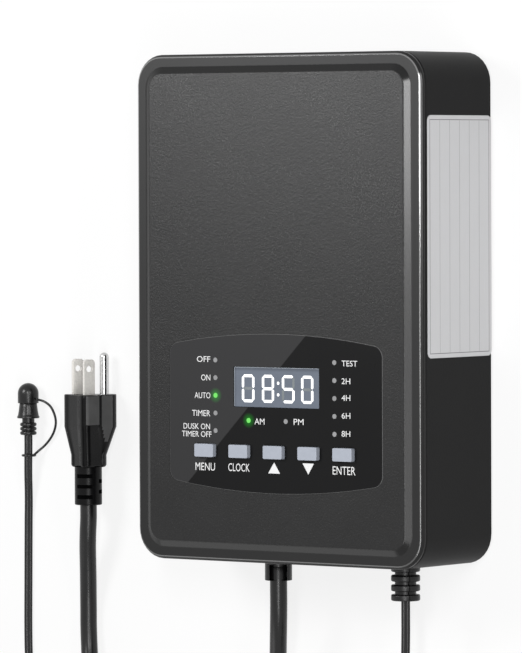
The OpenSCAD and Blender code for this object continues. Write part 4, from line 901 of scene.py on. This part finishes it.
plate_foil = Finish("plate_foil", Metallic=0.35)
_, foil_y, foil_z = plate_foil.axes()
foil_y = abs(foil_y - (PLATE_LOW[1] + PLATE_HIGH[1]) / 2)
foil_up = foil_z - (PLATE_LOW[2] + PLATE_HIGH[2]) / 2
frame_y = (PLATE_HIGH[1] - PLATE_LOW[1]) / 2 - FRAME_INSET
frame_z = (PLATE_HIGH[2] - PLATE_LOW[2]) / 2 - FRAME_INSET
inside_frame = (foil_y < frame_y + LINE_HALF) * (abs(foil_up) < frame_z + LINE_HALF)
on_frame = inside_frame * (1 - (foil_y < frame_y - LINE_HALF) * (abs(foil_up) < frame_z - LINE_HALF))
rule_step = 2 * frame_z / RULES
on_rule = ((foil_up + frame_z).pingpong(rule_step / 2) < LINE_HALF / 2) * inside_frame
brushed = plate_foil.noise(0.25 * MM, 2.0, stretch=(1, 30, 1))
plate_foil.give(
    Base_Color=plate_foil.mixed(
        on_frame.most(on_rule), plate_foil.shaded(brushed, PLATE_SILVER, 0.93, 1.05), PLATE_LINE),
    Roughness=brushed * BRUSH_GLOSS + FOIL_GLOSS,
    Normal=plate_foil.bump(brushed, 0.003 * MM))
rolled(
    "plate_sheet", "rating_plate", "plate_foil", plate_foil,
    (PLATE_ROLL, lambda x, y, z: x > PLATE_HIGH[0] - NEAR))


# The mains gland is one soft black moulding through the bottom end. Its saddle is open on one
# side, and the cord lies in it in a short sleeve.
SOFT_BLACK = (0.004, 0.004, 0.0042)
GLAND_ROLL = 0.3 * MM
MAINS_AXIS = (-22 * MM, 30 * MM)
SLEEVE = (
    (-128.5, 4.2), (-128.5, 4.36), (-128.7, 4.44), (-134.7, 4.44), (-134.9, 4.36), (-134.9, 4.2))


def anywhere(x, y, z):
    return np.full(x.shape, True)


def turned(name, axis, profile, finish, sides=48, dent=None):
    """A solid turned about a line along Y through axis, an (x, z) pair in metres. The profile is a
    row of (y, radius) pairs in mm from one end to the other; at angle a the surface lies at
    x + r sin a and z + r cos a, and dent gives the mm that come off the radius at y and a."""
    y, r = np.array(profile, float).T[:, :, None]
    a = 2 * np.pi * np.arange(sides) / sides
    r = r - (dent(y, a) if dent else 0 * a)
    rings = np.stack([
        axis[0] + MM * r * np.sin(a), np.broadcast_to(MM * y, r.shape),
        axis[1] + MM * r * np.cos(a)], -1)
    return tube(name, rings, finish)


moulded_black = rubbery(
    "moulded_black", SOFT_BLACK, grain=0.6 * MM, relief=0.02 * MM, gloss=0.32, specular=0.3)
mains_gland = rolled(
    "mains_saddle", "mains_gland", "moulded_black", moulded_black, (GLAND_ROLL, anywhere))
mains_sleeve = turned("mains_sleeve", MAINS_AXIS, SLEEVE, moulded_black)
fitted(mains_sleeve, "moulded_black")


# The sensor's gland is a soft black strain relief, moulded round its cord and held in the bottom end.
# It has four round-edged ribs and a parting line.
SENSOR_AXIS = (55.4 * MM, 30 * MM)
GLAND_START = -125.0
GLAND_ROOT = ((-120.5, 5.3), (-122.5, 5.3), (-122.5, 3.9), (GLAND_START, 3.9))
RIBS, RIB_PITCH, RIB_THICK = 4, 4.72, 3.2
GLAND_CORE, GLAND_RIB, RIB_CORNER = 5.25, 7.15, 0.8
PARTING_AT, PARTING_HALF, PARTING_DEPTH = math.radians(51.5), math.radians(2.5), 0.45


def ribbed(bands, core, rib, corner, steps=4):
    """A profile of round-cornered ribs on a core. Each band is its first and last y in mm."""
    turn = np.linspace(0, np.pi / 2, steps + 1)
    points = []
    for first, last in bands:
        way = np.sign(last - first) * corner
        rise = [(way * (1 - np.cos(t)), rib - corner * (1 - np.sin(t))) for t in turn]
        points.append((first, core))
        points += [(first + step, r) for step, r in rise]
        points += [(last - step, r) for step, r in rise[::-1]]
        points.append((last, core))
    return points


def parting(y, a):
    """A narrow groove along the moulding where its two halves meet."""
    return PARTING_DEPTH * ((np.abs(a - PARTING_AT) < PARTING_HALF) & (y < GLAND_START))


gland_bands = [
    (GLAND_START - k * RIB_PITCH, GLAND_START - k * RIB_PITCH - RIB_THICK) for k in range(RIBS)]
gland_profile = [*GLAND_ROOT, *ribbed(gland_bands, GLAND_CORE, GLAND_RIB, RIB_CORNER)]
sensor_gland = turned("sensor_relief", SENSOR_AXIS, gland_profile, moulded_black, sides=96, dent=parting)
fitted(sensor_gland, "moulded_black", "sensor_gland")


# The three-pin plug is moulded on its cord: a rounded barrel round the ground pin, two shoulders
# above it, a raised finger pad on each side, and a slotted sleeve that lets the cord bend.
PLUG_AT = (-154.8, -46.8, 14.7)
PLUG_ROLL = math.radians(25)
PIN_OFF = 9.3
BARREL_R = 6.2
SHOULDER_R, SHOULDER_X, SHOULDER_Z = 3.4, 9.0, 5.3

# Where the rings stand along the plug, and tables of a value at each y, in mm: how far the ends are
# rounded in, how much of the barrel's and the shoulders' offsets is left, and the crease's share of the
# side and its depth.
PLUG_YS = np.array([
    0, -0.12, -0.4, -2, -4, -6, -8, -10, -12, -14, -15.1, -15.5, -16.5, -18, -20, -22, -24, -26,
    -28, -29.5, -31, -33, -35.7, -36.3, -36.8, -37.1, -37.2])
PLUG_INSETS = (
    (-37.2, 1.5), (-37.1, 1.0), (-36.8, 0.5), (-36.3, 0.15), (-35.7, 0), (-0.4, 0), (-0.12, 0.12),
    (0, 0.4))
BARREL_SHARES = ((-37.2, 0.38), (-31, 0.38), (-16.5, 1), (0, 1))
SHOULDER_SHARES = ((-37.2, 0.61), (-31, 0.61), (-16.5, 1), (0, 1))
CREASES = ((-37.2, 0.02), (-31, 0.05), (-16.5, 0.64), (0, 0.64))
CREASE_DEPTHS = ((-37.2, 0), (-31, 0.1), (-16.5, 1.2), (0, 1.2))

# Where the points stand round half a section, and a table of the finger groove's depth at each of them.
PLUG_ROUND = np.concatenate([
    np.linspace(0, 1, 12)[:-1], np.linspace(1, 2, 32)[:-1], np.linspace(2, 3, 28)[:-1],
    [3, 3.08, 3.16, 3.2, 3.26, 3.6, 4]])
FINGER_GROOVE = ((2.46, 0), (2.52, 0.55), (2.72, 0.55), (2.78, 0), (3.18, 0), (3.24, 0.3), (4, 0.3))
PAD_START, PAD_END = -0.4, -15.3
PAD_STEP = 0.5
PAD_TO = 2.46
PLUG_WAIST = -24
BARREL_FROM, BARREL_MARGIN = 1.03, 0.16
PLUG_SHARP = 32
PLUG_BLACK = (0.004, 0.004, 0.0042)
PAD_AND_HIGHLIGHT_GREY = (0.08, 0.08, 0.08)


def in_plug(x, y, z):
    """Points of the plug's own axes, in mm, where they lie in the frame, in metres."""
    c, s = math.cos(PLUG_ROLL), math.sin(PLUG_ROLL)
    return MM * np.stack([PLUG_AT[0] + c * x - s * z, PLUG_AT[1] + y, PLUG_AT[2] + s * x + c * z], -1)


def stepped(at, steps):
    """The value of a line through (place, value) pairs at the places at."""
    places, values = np.array(steps, float).T
    return np.interp(at, places, values)


def half_plug(y, w):
    """Half of the plug's cross section at y, followed by w: 0 to 1 round the barrel from its lowest
    point, 1 to 2 straight up the side, 2 to 3 round the shoulder, 3 to 4 to the middle of the top.
    The crease, the step below the pads, the grooves and the rounded ends take their depth off the
    radius. It gives x and z in mm."""
    drop, out, rise = (
        PIN_OFF * stepped(y, BARREL_SHARES), SHOULDER_X * stepped(y, SHOULDER_SHARES),
        SHOULDER_Z * stepped(y, SHOULDER_SHARES))
    slope = np.arctan2(-out, rise + drop) + np.arcsin(
        (BARREL_R - SHOULDER_R) / np.hypot(out, rise + drop))
    angle = np.select(
        [w < 1, w < 2, w < 3],
        [-np.pi / 2 + w * (slope + np.pi / 2), slope, slope + (w - 2) * (np.pi / 2 - slope)],
        np.pi / 2)
    up_side = np.clip(w - 1, 0, 1)
    x = np.where(w < 3, up_side * out, (4 - w) * out)
    z = -drop + up_side * (rise + drop)
    r = BARREL_R + up_side * (SHOULDER_R - BARREL_R)
    crease = stepped(y, CREASES)
    valley = stepped(y, CREASE_DEPTHS) * np.clip((w - 1) / crease, 0, 1) ** 2 * (w - 1 < crease)
    below_pad = PAD_STEP * (w - 1 >= crease) * (w < PAD_TO) * (y < PAD_END)
    off = valley + below_pad + stepped(w, ((0, 0), *FINGER_GROOVE)) + stepped(y, PLUG_INSETS)
    return x + (r - off) * np.cos(angle), z + (r - off) * np.sin(angle)


# A tube's two flat ends keep its first finish.
END_FACES = (False, False)


def plug_moulding(name, finish, pad_and_highlight_finish):
    """The plug's body: half sections and their mirror images, ring after ring along y; the faces of
    the raised pads take a second, lighter finish, and so does a band of the side between the barrel
    and the crease, as a painted highlight."""
    w, y = PLUG_ROUND, PLUG_YS[:, None]
    x, z = half_plug(y, w[None])
    rings = in_plug(
        np.hstack([x, -x[:, -2:0:-1]]), np.broadcast_to(y, (len(y), 2 * len(w) - 2)),
        np.hstack([z, z[:, -2:0:-1]]))
    thing = tube(name, rings, finish, PLUG_SHARP)
    way = np.concatenate([w, w[-2:0:-1]])
    middle = (y[:-1] + y[1:]) / 2
    crease = 1 + stepped(middle, CREASES)
    on_shoulder = (middle > PAD_END) & (way > crease) & (way < PAD_TO)
    # Painted highlight: this band of the side beside the barrel takes the lighter pad finish.
    barrel_painted_highlight = (middle > PLUG_WAIST) & (way > BARREL_FROM) & (way < crease - BARREL_MARGIN)
    on_pad_or_highlight = (middle < PAD_START) & (on_shoulder | barrel_painted_highlight)
    second_finish(thing, pad_and_highlight_finish, np.append(on_pad_or_highlight, END_FACES))
    return thing


plug_plastic = rubbery(
    "plug_plastic", PLUG_BLACK, grain=0.5 * MM, relief=0.01 * MM, gloss=0.26, specular=0.11)
# A lighter speckled grey for the finger pads, which also serves as a painted highlight beside the barrel.
pad_and_highlight_plastic = rubbery(
    "pad_and_highlight_plastic", PAD_AND_HIGHLIGHT_GREY, grain=0.4 * MM, relief=0.12 * MM, gloss=0.5, specular=0.12)
plug_body = plug_moulding("plug_moulding", plug_plastic, pad_and_highlight_plastic)
fitted(plug_body, "moulded_black", "plug_body")

RELIEF_LOW, RELIEF_HIGH = -56.4, -36.9
RELIEF_R = 7.0
RELIEF_ROUND = 0.6
RELIEF_RINGS, RELIEF_SIDES = 98, 120
SLOT_FLOOR = 5.2
SLOT_HALF = 0.9
LONG_SLOTS = (-41.6, -46.85, -52.1)
SHORT_SLOTS = (-44.2, -49.5)
LONG_HALF, SHORT_HALF = 4.0, 2.2
SLOT_SHOW = 0.25
SLOT_PAINTED_SHADE = (0.0015, 0.0015, 0.0016)


def bend_sleeve(name, finish, slot_shade_finish):
    """The sleeve behind the plug: a cylinder along y whose radius drops to a flat floor in each
    slot; slots look along the angles 45 and 225 degrees, and shorter ones along 135 and 315. The
    slots' faces take a second finish, near black, as painted shade in the slots."""
    y = np.linspace(RELIEF_LOW, RELIEF_HIGH, RELIEF_RINGS)[:, None]
    a = 2 * np.pi * np.arange(RELIEF_SIDES) / RELIEF_SIDES
    near_end = np.clip(RELIEF_LOW + RELIEF_ROUND - y, 0, RELIEF_ROUND)
    r = RELIEF_R - RELIEF_ROUND + np.sqrt(RELIEF_ROUND ** 2 - near_end ** 2) + 0 * a
    for turn, half, places in ((45, LONG_HALF, LONG_SLOTS), (135, SHORT_HALF, SHORT_SLOTS)):
        aside = (a - math.radians(turn) + np.pi / 2) % np.pi - np.pi / 2
        floor_r = SLOT_FLOOR / np.cos(aside)
        across = RELIEF_R * np.abs(np.sin(aside)) < half
        for place in places:
            r = np.where(across & (np.abs(y - place) < SLOT_HALF), np.minimum(r, floor_r), r)
    rings = in_plug(r * np.sin(a), np.broadcast_to(y, r.shape), r * np.cos(a))
    thing = tube(name, rings, finish, PLUG_SHARP)
    low = (r < RELIEF_R - SLOT_SHOW) & (y > RELIEF_LOW + RELIEF_ROUND)
    sunk = low[:-1] | low[1:]
    sunk |= np.roll(sunk, -1, axis=1)
    second_finish(thing, slot_shade_finish, np.append(sunk, END_FACES))
    return thing


# Painted shade: the slots' faces are near black, darker than the plastic round them.
matt_slot_painted_shade = rubbery(
    "matt_slot_painted_shade", SLOT_PAINTED_SHADE, grain=0.5 * MM, relief=0.01 * MM, gloss=0.8, specular=0.02)
plug_sleeve = bend_sleeve("plug_sleeve", plug_plastic, matt_slot_painted_shade)
fitted(plug_sleeve, "moulded_black", "plug_body")


# The plug's two flat blades are stamped and nickel plated with a satin face; the longer ground
# pin is turned and bright.
BLADE_NICKEL = (0.8, 0.78, 0.74)
PIN_CHROME = (0.62, 0.62, 0.62)
BLADE_ROLL = 0.22 * MM
PIN_R, PIN_ROOT, PIN_DOME = 2.375, -46.8, -27.775
DOME_STEPS, TIP_AT, TIP_R = 11, 0.998, 0.06
WAVES, SPECK_GLOSS, WAVE_GLOSS = 8, 0.12, 0.05


def plated(name, colour, gloss, speck, relief, metal=1.0):
    """Bright plating: tiny specks in its colour and its gloss, and a faint waviness."""
    finish = Finish(name, Metallic=metal)
    specks = finish.ramp(finish.noise(speck, 3.0, rough=0.7), 0.35, 0.65)
    waves = finish.noise(speck * WAVES, 2.0)
    finish.give(
        Base_Color=finish.shaded(specks, colour, 0.72, 1.15),
        Roughness=specks * SPECK_GLOSS + (gloss - SPECK_GLOSS / 2) + waves * WAVE_GLOSS,
        Normal=finish.bump(specks, relief))
    return finish


def domed(middle, radius):
    """The profile of a round end in mm, from its rim to its tip: a quarter circle and a tiny flat."""
    turn = np.linspace(0, np.pi / 2, DOME_STEPS + 1)[:-1]
    return [(middle + radius * math.sin(t), radius * math.cos(t)) for t in turn] + [
        (middle + TIP_AT * radius, TIP_R * radius)]


blade_nickel = plated(
    "blade_nickel", BLADE_NICKEL, gloss=0.45, speck=0.35 * MM, relief=0.02 * MM, metal=0.3)
plug_blades = rolled(
    "plug_blade_pair", "plug_blades", "contact_brass", blade_nickel, (BLADE_ROLL, anywhere))
pin_chrome = plated("pin_chrome", PIN_CHROME, gloss=0.14, speck=0.8 * MM, relief=0.002 * MM)
pin_axis = in_plug(0.0, 0.0, -PIN_OFF)
ground_pin = turned(
    "ground_pin", (pin_axis[0], pin_axis[2]), [(PIN_ROOT, PIN_R), *domed(PIN_DOME, PIN_R)], pin_chrome)
fitted(ground_pin, "contact_brass", "plug_ground_pin")


# The light sensor's head is moulded on the twin cord: three soft ribs, a flared collar with a lip,
# and a neck that the cap grips. A smoked lens stands on the neck.
HEAD_AXIS = (-201.5 * MM, 5.9 * MM)
HEAD_RIBS = ((-69, -67), (-66.77, -64.77), (-64.53, -62.53))
HEAD_CORE, HEAD_RIB, HEAD_CORNER = 3.2, 4.3, 0.9
COLLAR = (
    (-60.3, HEAD_CORE), (-60.3, 5.6), (-60.1, 5.78), (-59.5, 5.8), (-59.25, 5.7), (-59.05, 5.46),
    (-58.2, 5.28), (-56.85, 5.02), (-54.5, 4.72), (-52.7, 4.52), (-52.55, 4.4), (-52.55, 4.1),
    (-50.7, 4.1), (-50.5, 3.9))
HEAD_BLACK = (0.003, 0.003, 0.0031)
LENS_R, LENS_ROOT, LENS_DOME = 3.5, -50.5, -47.5
SMOKE = (0.045, 0.045, 0.05)

head_black = rubbery(
    "head_black", HEAD_BLACK, grain=0.5 * MM, relief=0.01 * MM, gloss=0.28, specular=0.35)
head_profile = [*ribbed(HEAD_RIBS, HEAD_CORE, HEAD_RIB, HEAD_CORNER), *COLLAR]
sensor_head = turned("sensor_head_moulding", HEAD_AXIS, head_profile, head_black, sides=64)
fitted(sensor_head, "moulded_black", "sensor_head")

lens_smoke = rubbery("lens_smoke", SMOKE, grain=0.8 * MM, relief=0.001 * MM, gloss=0.2)
sensor_lens = turned(
    "sensor_lens", HEAD_AXIS, [(LENS_ROOT, LENS_R), *domed(LENS_DOME, LENS_R)], lens_smoke)
fitted(sensor_lens, "eye_smoke", "sensor_eye")


# The cap is a thin soft thimble with a round top that pulls off the neck; its tether, a moulded
# string, runs round to a ring on the cord.
CAP_R, CAP_BORE, CAP_MOUTH, CAP_DOME = 5.4, 4.3, -52.5, -47.5
LIP_DEEP, LIP_WIDE = 0.15, 0.12

cap_lip = [
    (CAP_MOUTH + LIP_DEEP, CAP_R), (CAP_MOUTH, CAP_R - LIP_WIDE), (CAP_MOUTH, CAP_BORE + LIP_WIDE),
    (CAP_MOUTH + LIP_DEEP, CAP_BORE)]
cap_profile = [*domed(CAP_DOME, CAP_R)[::-1], *cap_lip, *domed(CAP_DOME, CAP_BORE)]
sensor_cap = turned("sensor_thimble", HEAD_AXIS, cap_profile, head_black, sides=64)
fitted(sensor_cap, "moulded_black", "sensor_cap", body="cap")

TETHER = [
    (-195.4, -50.5, 5.9), (-191, -51.5, 5.7), (-187.4, -54, 5), (-185.5, -58.2, 4.1),
    (-185.7, -62.4, 2.8), (-187.6, -66.8, 1.8), (-190.5, -70.8, 1.4), (-194, -74.4, 1.6),
    (-197, -77.3, 3.2), (-198.4, -79.6, 5.6)]
TETHER_D = 1.25 * MM
TETHER_STEPS = 6
TETHER_SIDES, HOOP_STEPS = 12, 40
RING_AT = (-201.5 * MM, -79.6 * MM, 5.55 * MM)
RING_R = 3.2 * MM


def tether_mesh(name, finish):
    """A round string along its line, and a hoop that stands across the cord: at angles a round the
    hoop and b round its string it lies at (R + r cos b) from its middle and r sin b along Y."""
    string = along(MM * curved(TETHER, TETHER_STEPS), round_section(TETHER_D, TETHER_SIDES))
    a = 2 * np.pi * np.arange(HOOP_STEPS)[:, None] / HOOP_STEPS
    b = 2 * np.pi * np.arange(TETHER_SIDES) / TETHER_SIDES
    reach = RING_R + TETHER_D / 2 * np.cos(b)
    hoop = np.stack([
        RING_AT[0] + reach * np.cos(a), RING_AT[1] + TETHER_D / 2 * np.sin(b) + 0 * a,
        RING_AT[2] + reach * np.sin(a)], -1)
    first = len(string) * TETHER_SIDES
    faces = tube_faces(len(string), TETHER_SIDES)
    faces += [
        [corner + first for corner in face] for face in cells(HOOP_STEPS, TETHER_SIDES, True, True)]
    return closed(name, np.vstack([string.reshape(-1, 3), hoop.reshape(-1, 3)]), faces, finish)


tether = tether_mesh("tether_string", head_black)
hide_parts("cap_tether")
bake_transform(tether)


# Each coil of cord is held by a flat black tie, drawn tight round its turns and locked in a small head
# on its outer side.
TIE_ROLL = 0.2 * MM
tie_black = rubbery("tie_black", CORD_BLACK, grain=0.4 * MM, relief=0.01 * MM, gloss=0.35)
coil_ties = [
    rolled(f"{tie}_band", tie, "cord_black", tie_black, (TIE_ROLL, anywhere))
    for tie in ("mains_coil_tie", "sensor_coil_tie")]


# The lamps are the ends of short moulded light pipes, which stand over the light emitters on the board
# and come up through the panel. Ten are dull grey, and two shine green.
PIPE_GREY = (0.27, 0.27, 0.275)
PIPE_GREEN = (0.05, 0.2, 0.04)
PIPE_LIGHT = (0.105, 0.56, 0.075)


def dress(finish, *nodes):
    """Gives a finish to CAD nodes that are shown as they are."""
    for node in nodes:
        data = frame["nodes"][node].data
        data.materials.clear()
        data.materials.append(finish.material)


pipe_grey = rubbery("pipe_grey", PIPE_GREY, grain=0.4 * MM, relief=0.01 * MM, gloss=0.3)
dress(pipe_grey, "indicator_pipes_grey")
pipe_green = Finish("pipe_green", Roughness=0.3, Emission_Strength=1.0)
sparkle = pipe_green.noise(0.5 * MM, 2.0)
pipe_green.give(
    Base_Color=pipe_green.shaded(sparkle, PIPE_GREEN, 1.0, 1.3),
    Emission_Color=pipe_green.shaded(sparkle, PIPE_LIGHT, 0.9, 1.0))
dress(pipe_green, "indicator_pipes_green")


# The transformer itself is a ring: a core of wound steel strip, a primary and a secondary of
# copper wire wound over it, and yellow tape over both. Each layer shows the turns it is made of.
RING_MIDDLE = (0.0, 45.075)
CORE_LOW, CORE_HIGH = 13.9, 39.9
CORE_IN, CORE_OUT = 31.0, 45.0
LAYERS = (
    ("primary_turns", "primary_winding", 4.1, 150, 0.28, (0.42, 0.13, 0.04), "winding_copper"),
    ("secondary_turns", "secondary_winding", 8.7, 72, 0.5, (0.5, 0.19, 0.06), "winding_copper"),
    ("tape_laps", "winding_tape", 9.4, 40, 0.12, (0.6, 0.45, 0.05), "tape_yellow"))
TURN_STEPS, CORNER_STEPS = 4, 7
TURN_SHARP = 60


def wound_ring(name, over, turns, ridge, finish):
    """One layer of the winding: a rectangle with round corners of radius over round the core's
    section, carried about the ring's axis; each turn stands ridge mm proud of the hollows."""
    quarter = np.linspace(0, np.pi / 2, CORNER_STEPS)
    side = np.concatenate([quarter, quarter + np.pi / 2, quarter + np.pi, quarter + 1.5 * np.pi])
    corner_r = np.repeat([CORE_OUT, CORE_IN, CORE_IN, CORE_OUT], CORNER_STEPS)
    corner_z = np.repeat([CORE_HIGH, CORE_HIGH, CORE_LOW, CORE_LOW], CORNER_STEPS)
    steps = turns * TURN_STEPS
    around = 2 * np.pi * np.arange(steps)[:, None] / steps
    swell = over - ridge * (1 - np.cos(turns * around)) / 2
    r = corner_r + swell * np.cos(side)
    z = corner_z + swell * np.sin(side)
    rings = MM * np.stack([
        RING_MIDDLE[0] + r * np.cos(around), RING_MIDDLE[1] + r * np.sin(around), z], -1)
    return closed(name, rings, cells(steps, len(side), True, True), finish, TURN_SHARP)


for layer, node, over, turns, ridge, colour, slot in LAYERS:
    enamel = rubbery(f"{layer}_finish", colour, grain=1.5 * MM, relief=0.01 * MM, gloss=0.3)
    fitted(wound_ring(layer, over, turns, ridge, enamel), slot, node)


# Insulated leads join the ring to the terminals, and the mains cord and the sensor's lead run on
# inside the case.
LEAD_D = 2.6 * MM
LEAD_GAP = 7
LEAD_STEPS, LEAD_SIDES = 6, 16
PRIMARY_WAY = np.array([
    (-7, -9.1, 20), (-8, -24.9, 20), (-14, -50, 23), (-18.5, -69.7, 27), (-18.5, -87.8, 28)])
SECONDARY_WAY = np.array([
    (7, -9.1, 20), (8, -29.5, 20), (10, -60, 23), (12, -90.5, 27.6), (12, -110.8, 28)])
SENSOR_WAY = np.array([
    (55.4, -120.4, 30), (55.4, -118.4, 30), (52, -112.2, 31.5), (47.5, -100, 35),
    (42, -87.8, 39), (38, -79.6, 42.9)])
MAINS_WAY = np.array([(-22, -120.5, 30), (-22, -116, 30), (-22, -110, 30), (-22, -104, 30)])
LEAD_BLUE = (0.03, 0.05, 0.3)
LEAD_RED = (0.4, 0.02, 0.02)

lead_blue = rubbery("lead_blue", LEAD_BLUE, grain=0.6 * MM, relief=0.008 * MM, gloss=0.35)
lead_red = rubbery("lead_red", LEAD_RED, grain=0.6 * MM, relief=0.008 * MM, gloss=0.35)
aside = np.array((LEAD_GAP, 0, 0))
RUNS = (
    ("primary_lead_a", "primary_leads", PRIMARY_WAY, LEAD_D, lead_blue, "lead_blue"),
    ("primary_lead_b", "primary_leads", PRIMARY_WAY - aside, LEAD_D, lead_blue, "lead_blue"),
    ("secondary_lead_a", "secondary_leads", SECONDARY_WAY, LEAD_D, lead_red, "lead_red"),
    ("secondary_lead_b", "secondary_leads", SECONDARY_WAY + aside, LEAD_D, lead_red, "lead_red"),
    ("sensor_lead", "sensor_inner_lead", SENSOR_WAY, LEAD_D, cord_jacket, "cord_black"),
    ("mains_cord_inside", "mains_inner_cord", MAINS_WAY, MAINS_D, cord_jacket, "cord_black"))
for run, node, way, thick, finish, slot in RUNS:
    rings = along(MM * curved(way, LEAD_STEPS), round_section(thick, LEAD_SIDES))
    fitted(tube(run, rings, finish), slot, node)


# Everything else inside the case is seen only when the cover is off: screws and clamps, pads and
# seal, the strips, the board and what is soldered to it.
def banded(name, colour, pitch, gloss, metal):
    """Wound or rolled metal: thin bands one over the other along Z, each a little different."""
    finish = Finish(name, Metallic=metal)
    bands = finish.noise(pitch, 1.0, stretch=(60, 60, 1))
    finish.give(
        Base_Color=finish.shaded(bands, colour, 0.75, 1.2),
        Roughness=bands * 0.2 + gloss,
        Normal=finish.bump(bands, 0.01 * MM))
    return finish


def etched(name, colour, light):
    """A board's lacquer: paler tracks where copper lies under it."""
    finish = Finish(name, Roughness=0.35)
    across = finish.noise(2.6 * MM, 0.0, stretch=(6, 1, 1))
    tracks = finish.ramp(across, 0.52, 0.56)
    finish.give(
        Base_Color=finish.mixed(tracks, colour, light), Normal=finish.bump(tracks, 0.035 * MM))
    return finish


dress(plated("zinc_steel", (0.6, 0.6, 0.62), gloss=0.32, speck=0.6 * MM, relief=0.01 * MM),
      "case_screws", "board_screws", "terminal_screws", "dished_washer", "core_bolt")
dress(plated("cell_steel", (0.64, 0.64, 0.65), gloss=0.2, speck=0.9 * MM, relief=0.004 * MM),
      "backup_cell", "cell_clip")
dress(plated("contact_brass", (0.66, 0.46, 0.18), gloss=0.3, speck=0.7 * MM, relief=0.008 * MM),
      "terminal_clamps", "bolt_insert")
dress(banded("core_steel", (0.22, 0.22, 0.25), pitch=0.5 * MM, gloss=0.35, metal=0.9),
      "toroid_core")
dress(etched("board_laminate", (0.012, 0.1, 0.035), (0.02, 0.17, 0.06)), "control_board")
dress(rubbery("seal_rubber", (0.014, 0.014, 0.014), grain=0.8 * MM, relief=0.02 * MM, gloss=0.65),
      "cover_seal", "rear_pad", "front_pad")
dress(grained("component_black", (0.018, 0.018, 0.018), grain=0.5 * MM, relief=0.012 * MM, gloss=0.45),
      "tact_switches", "timer_chip", "board_capacitors", "terminal_block")
dress(grained("component_white", (0.68, 0.68, 0.63), grain=0.6 * MM, relief=0.01 * MM, gloss=0.45),
      "display_module", "sensor_header", "mains_strip", "thermal_cutout", "board_leds")
dress(grained("relay_blue", (0.015, 0.06, 0.3), grain=0.7 * MM, relief=0.01 * MM, gloss=0.35),
      "relay")
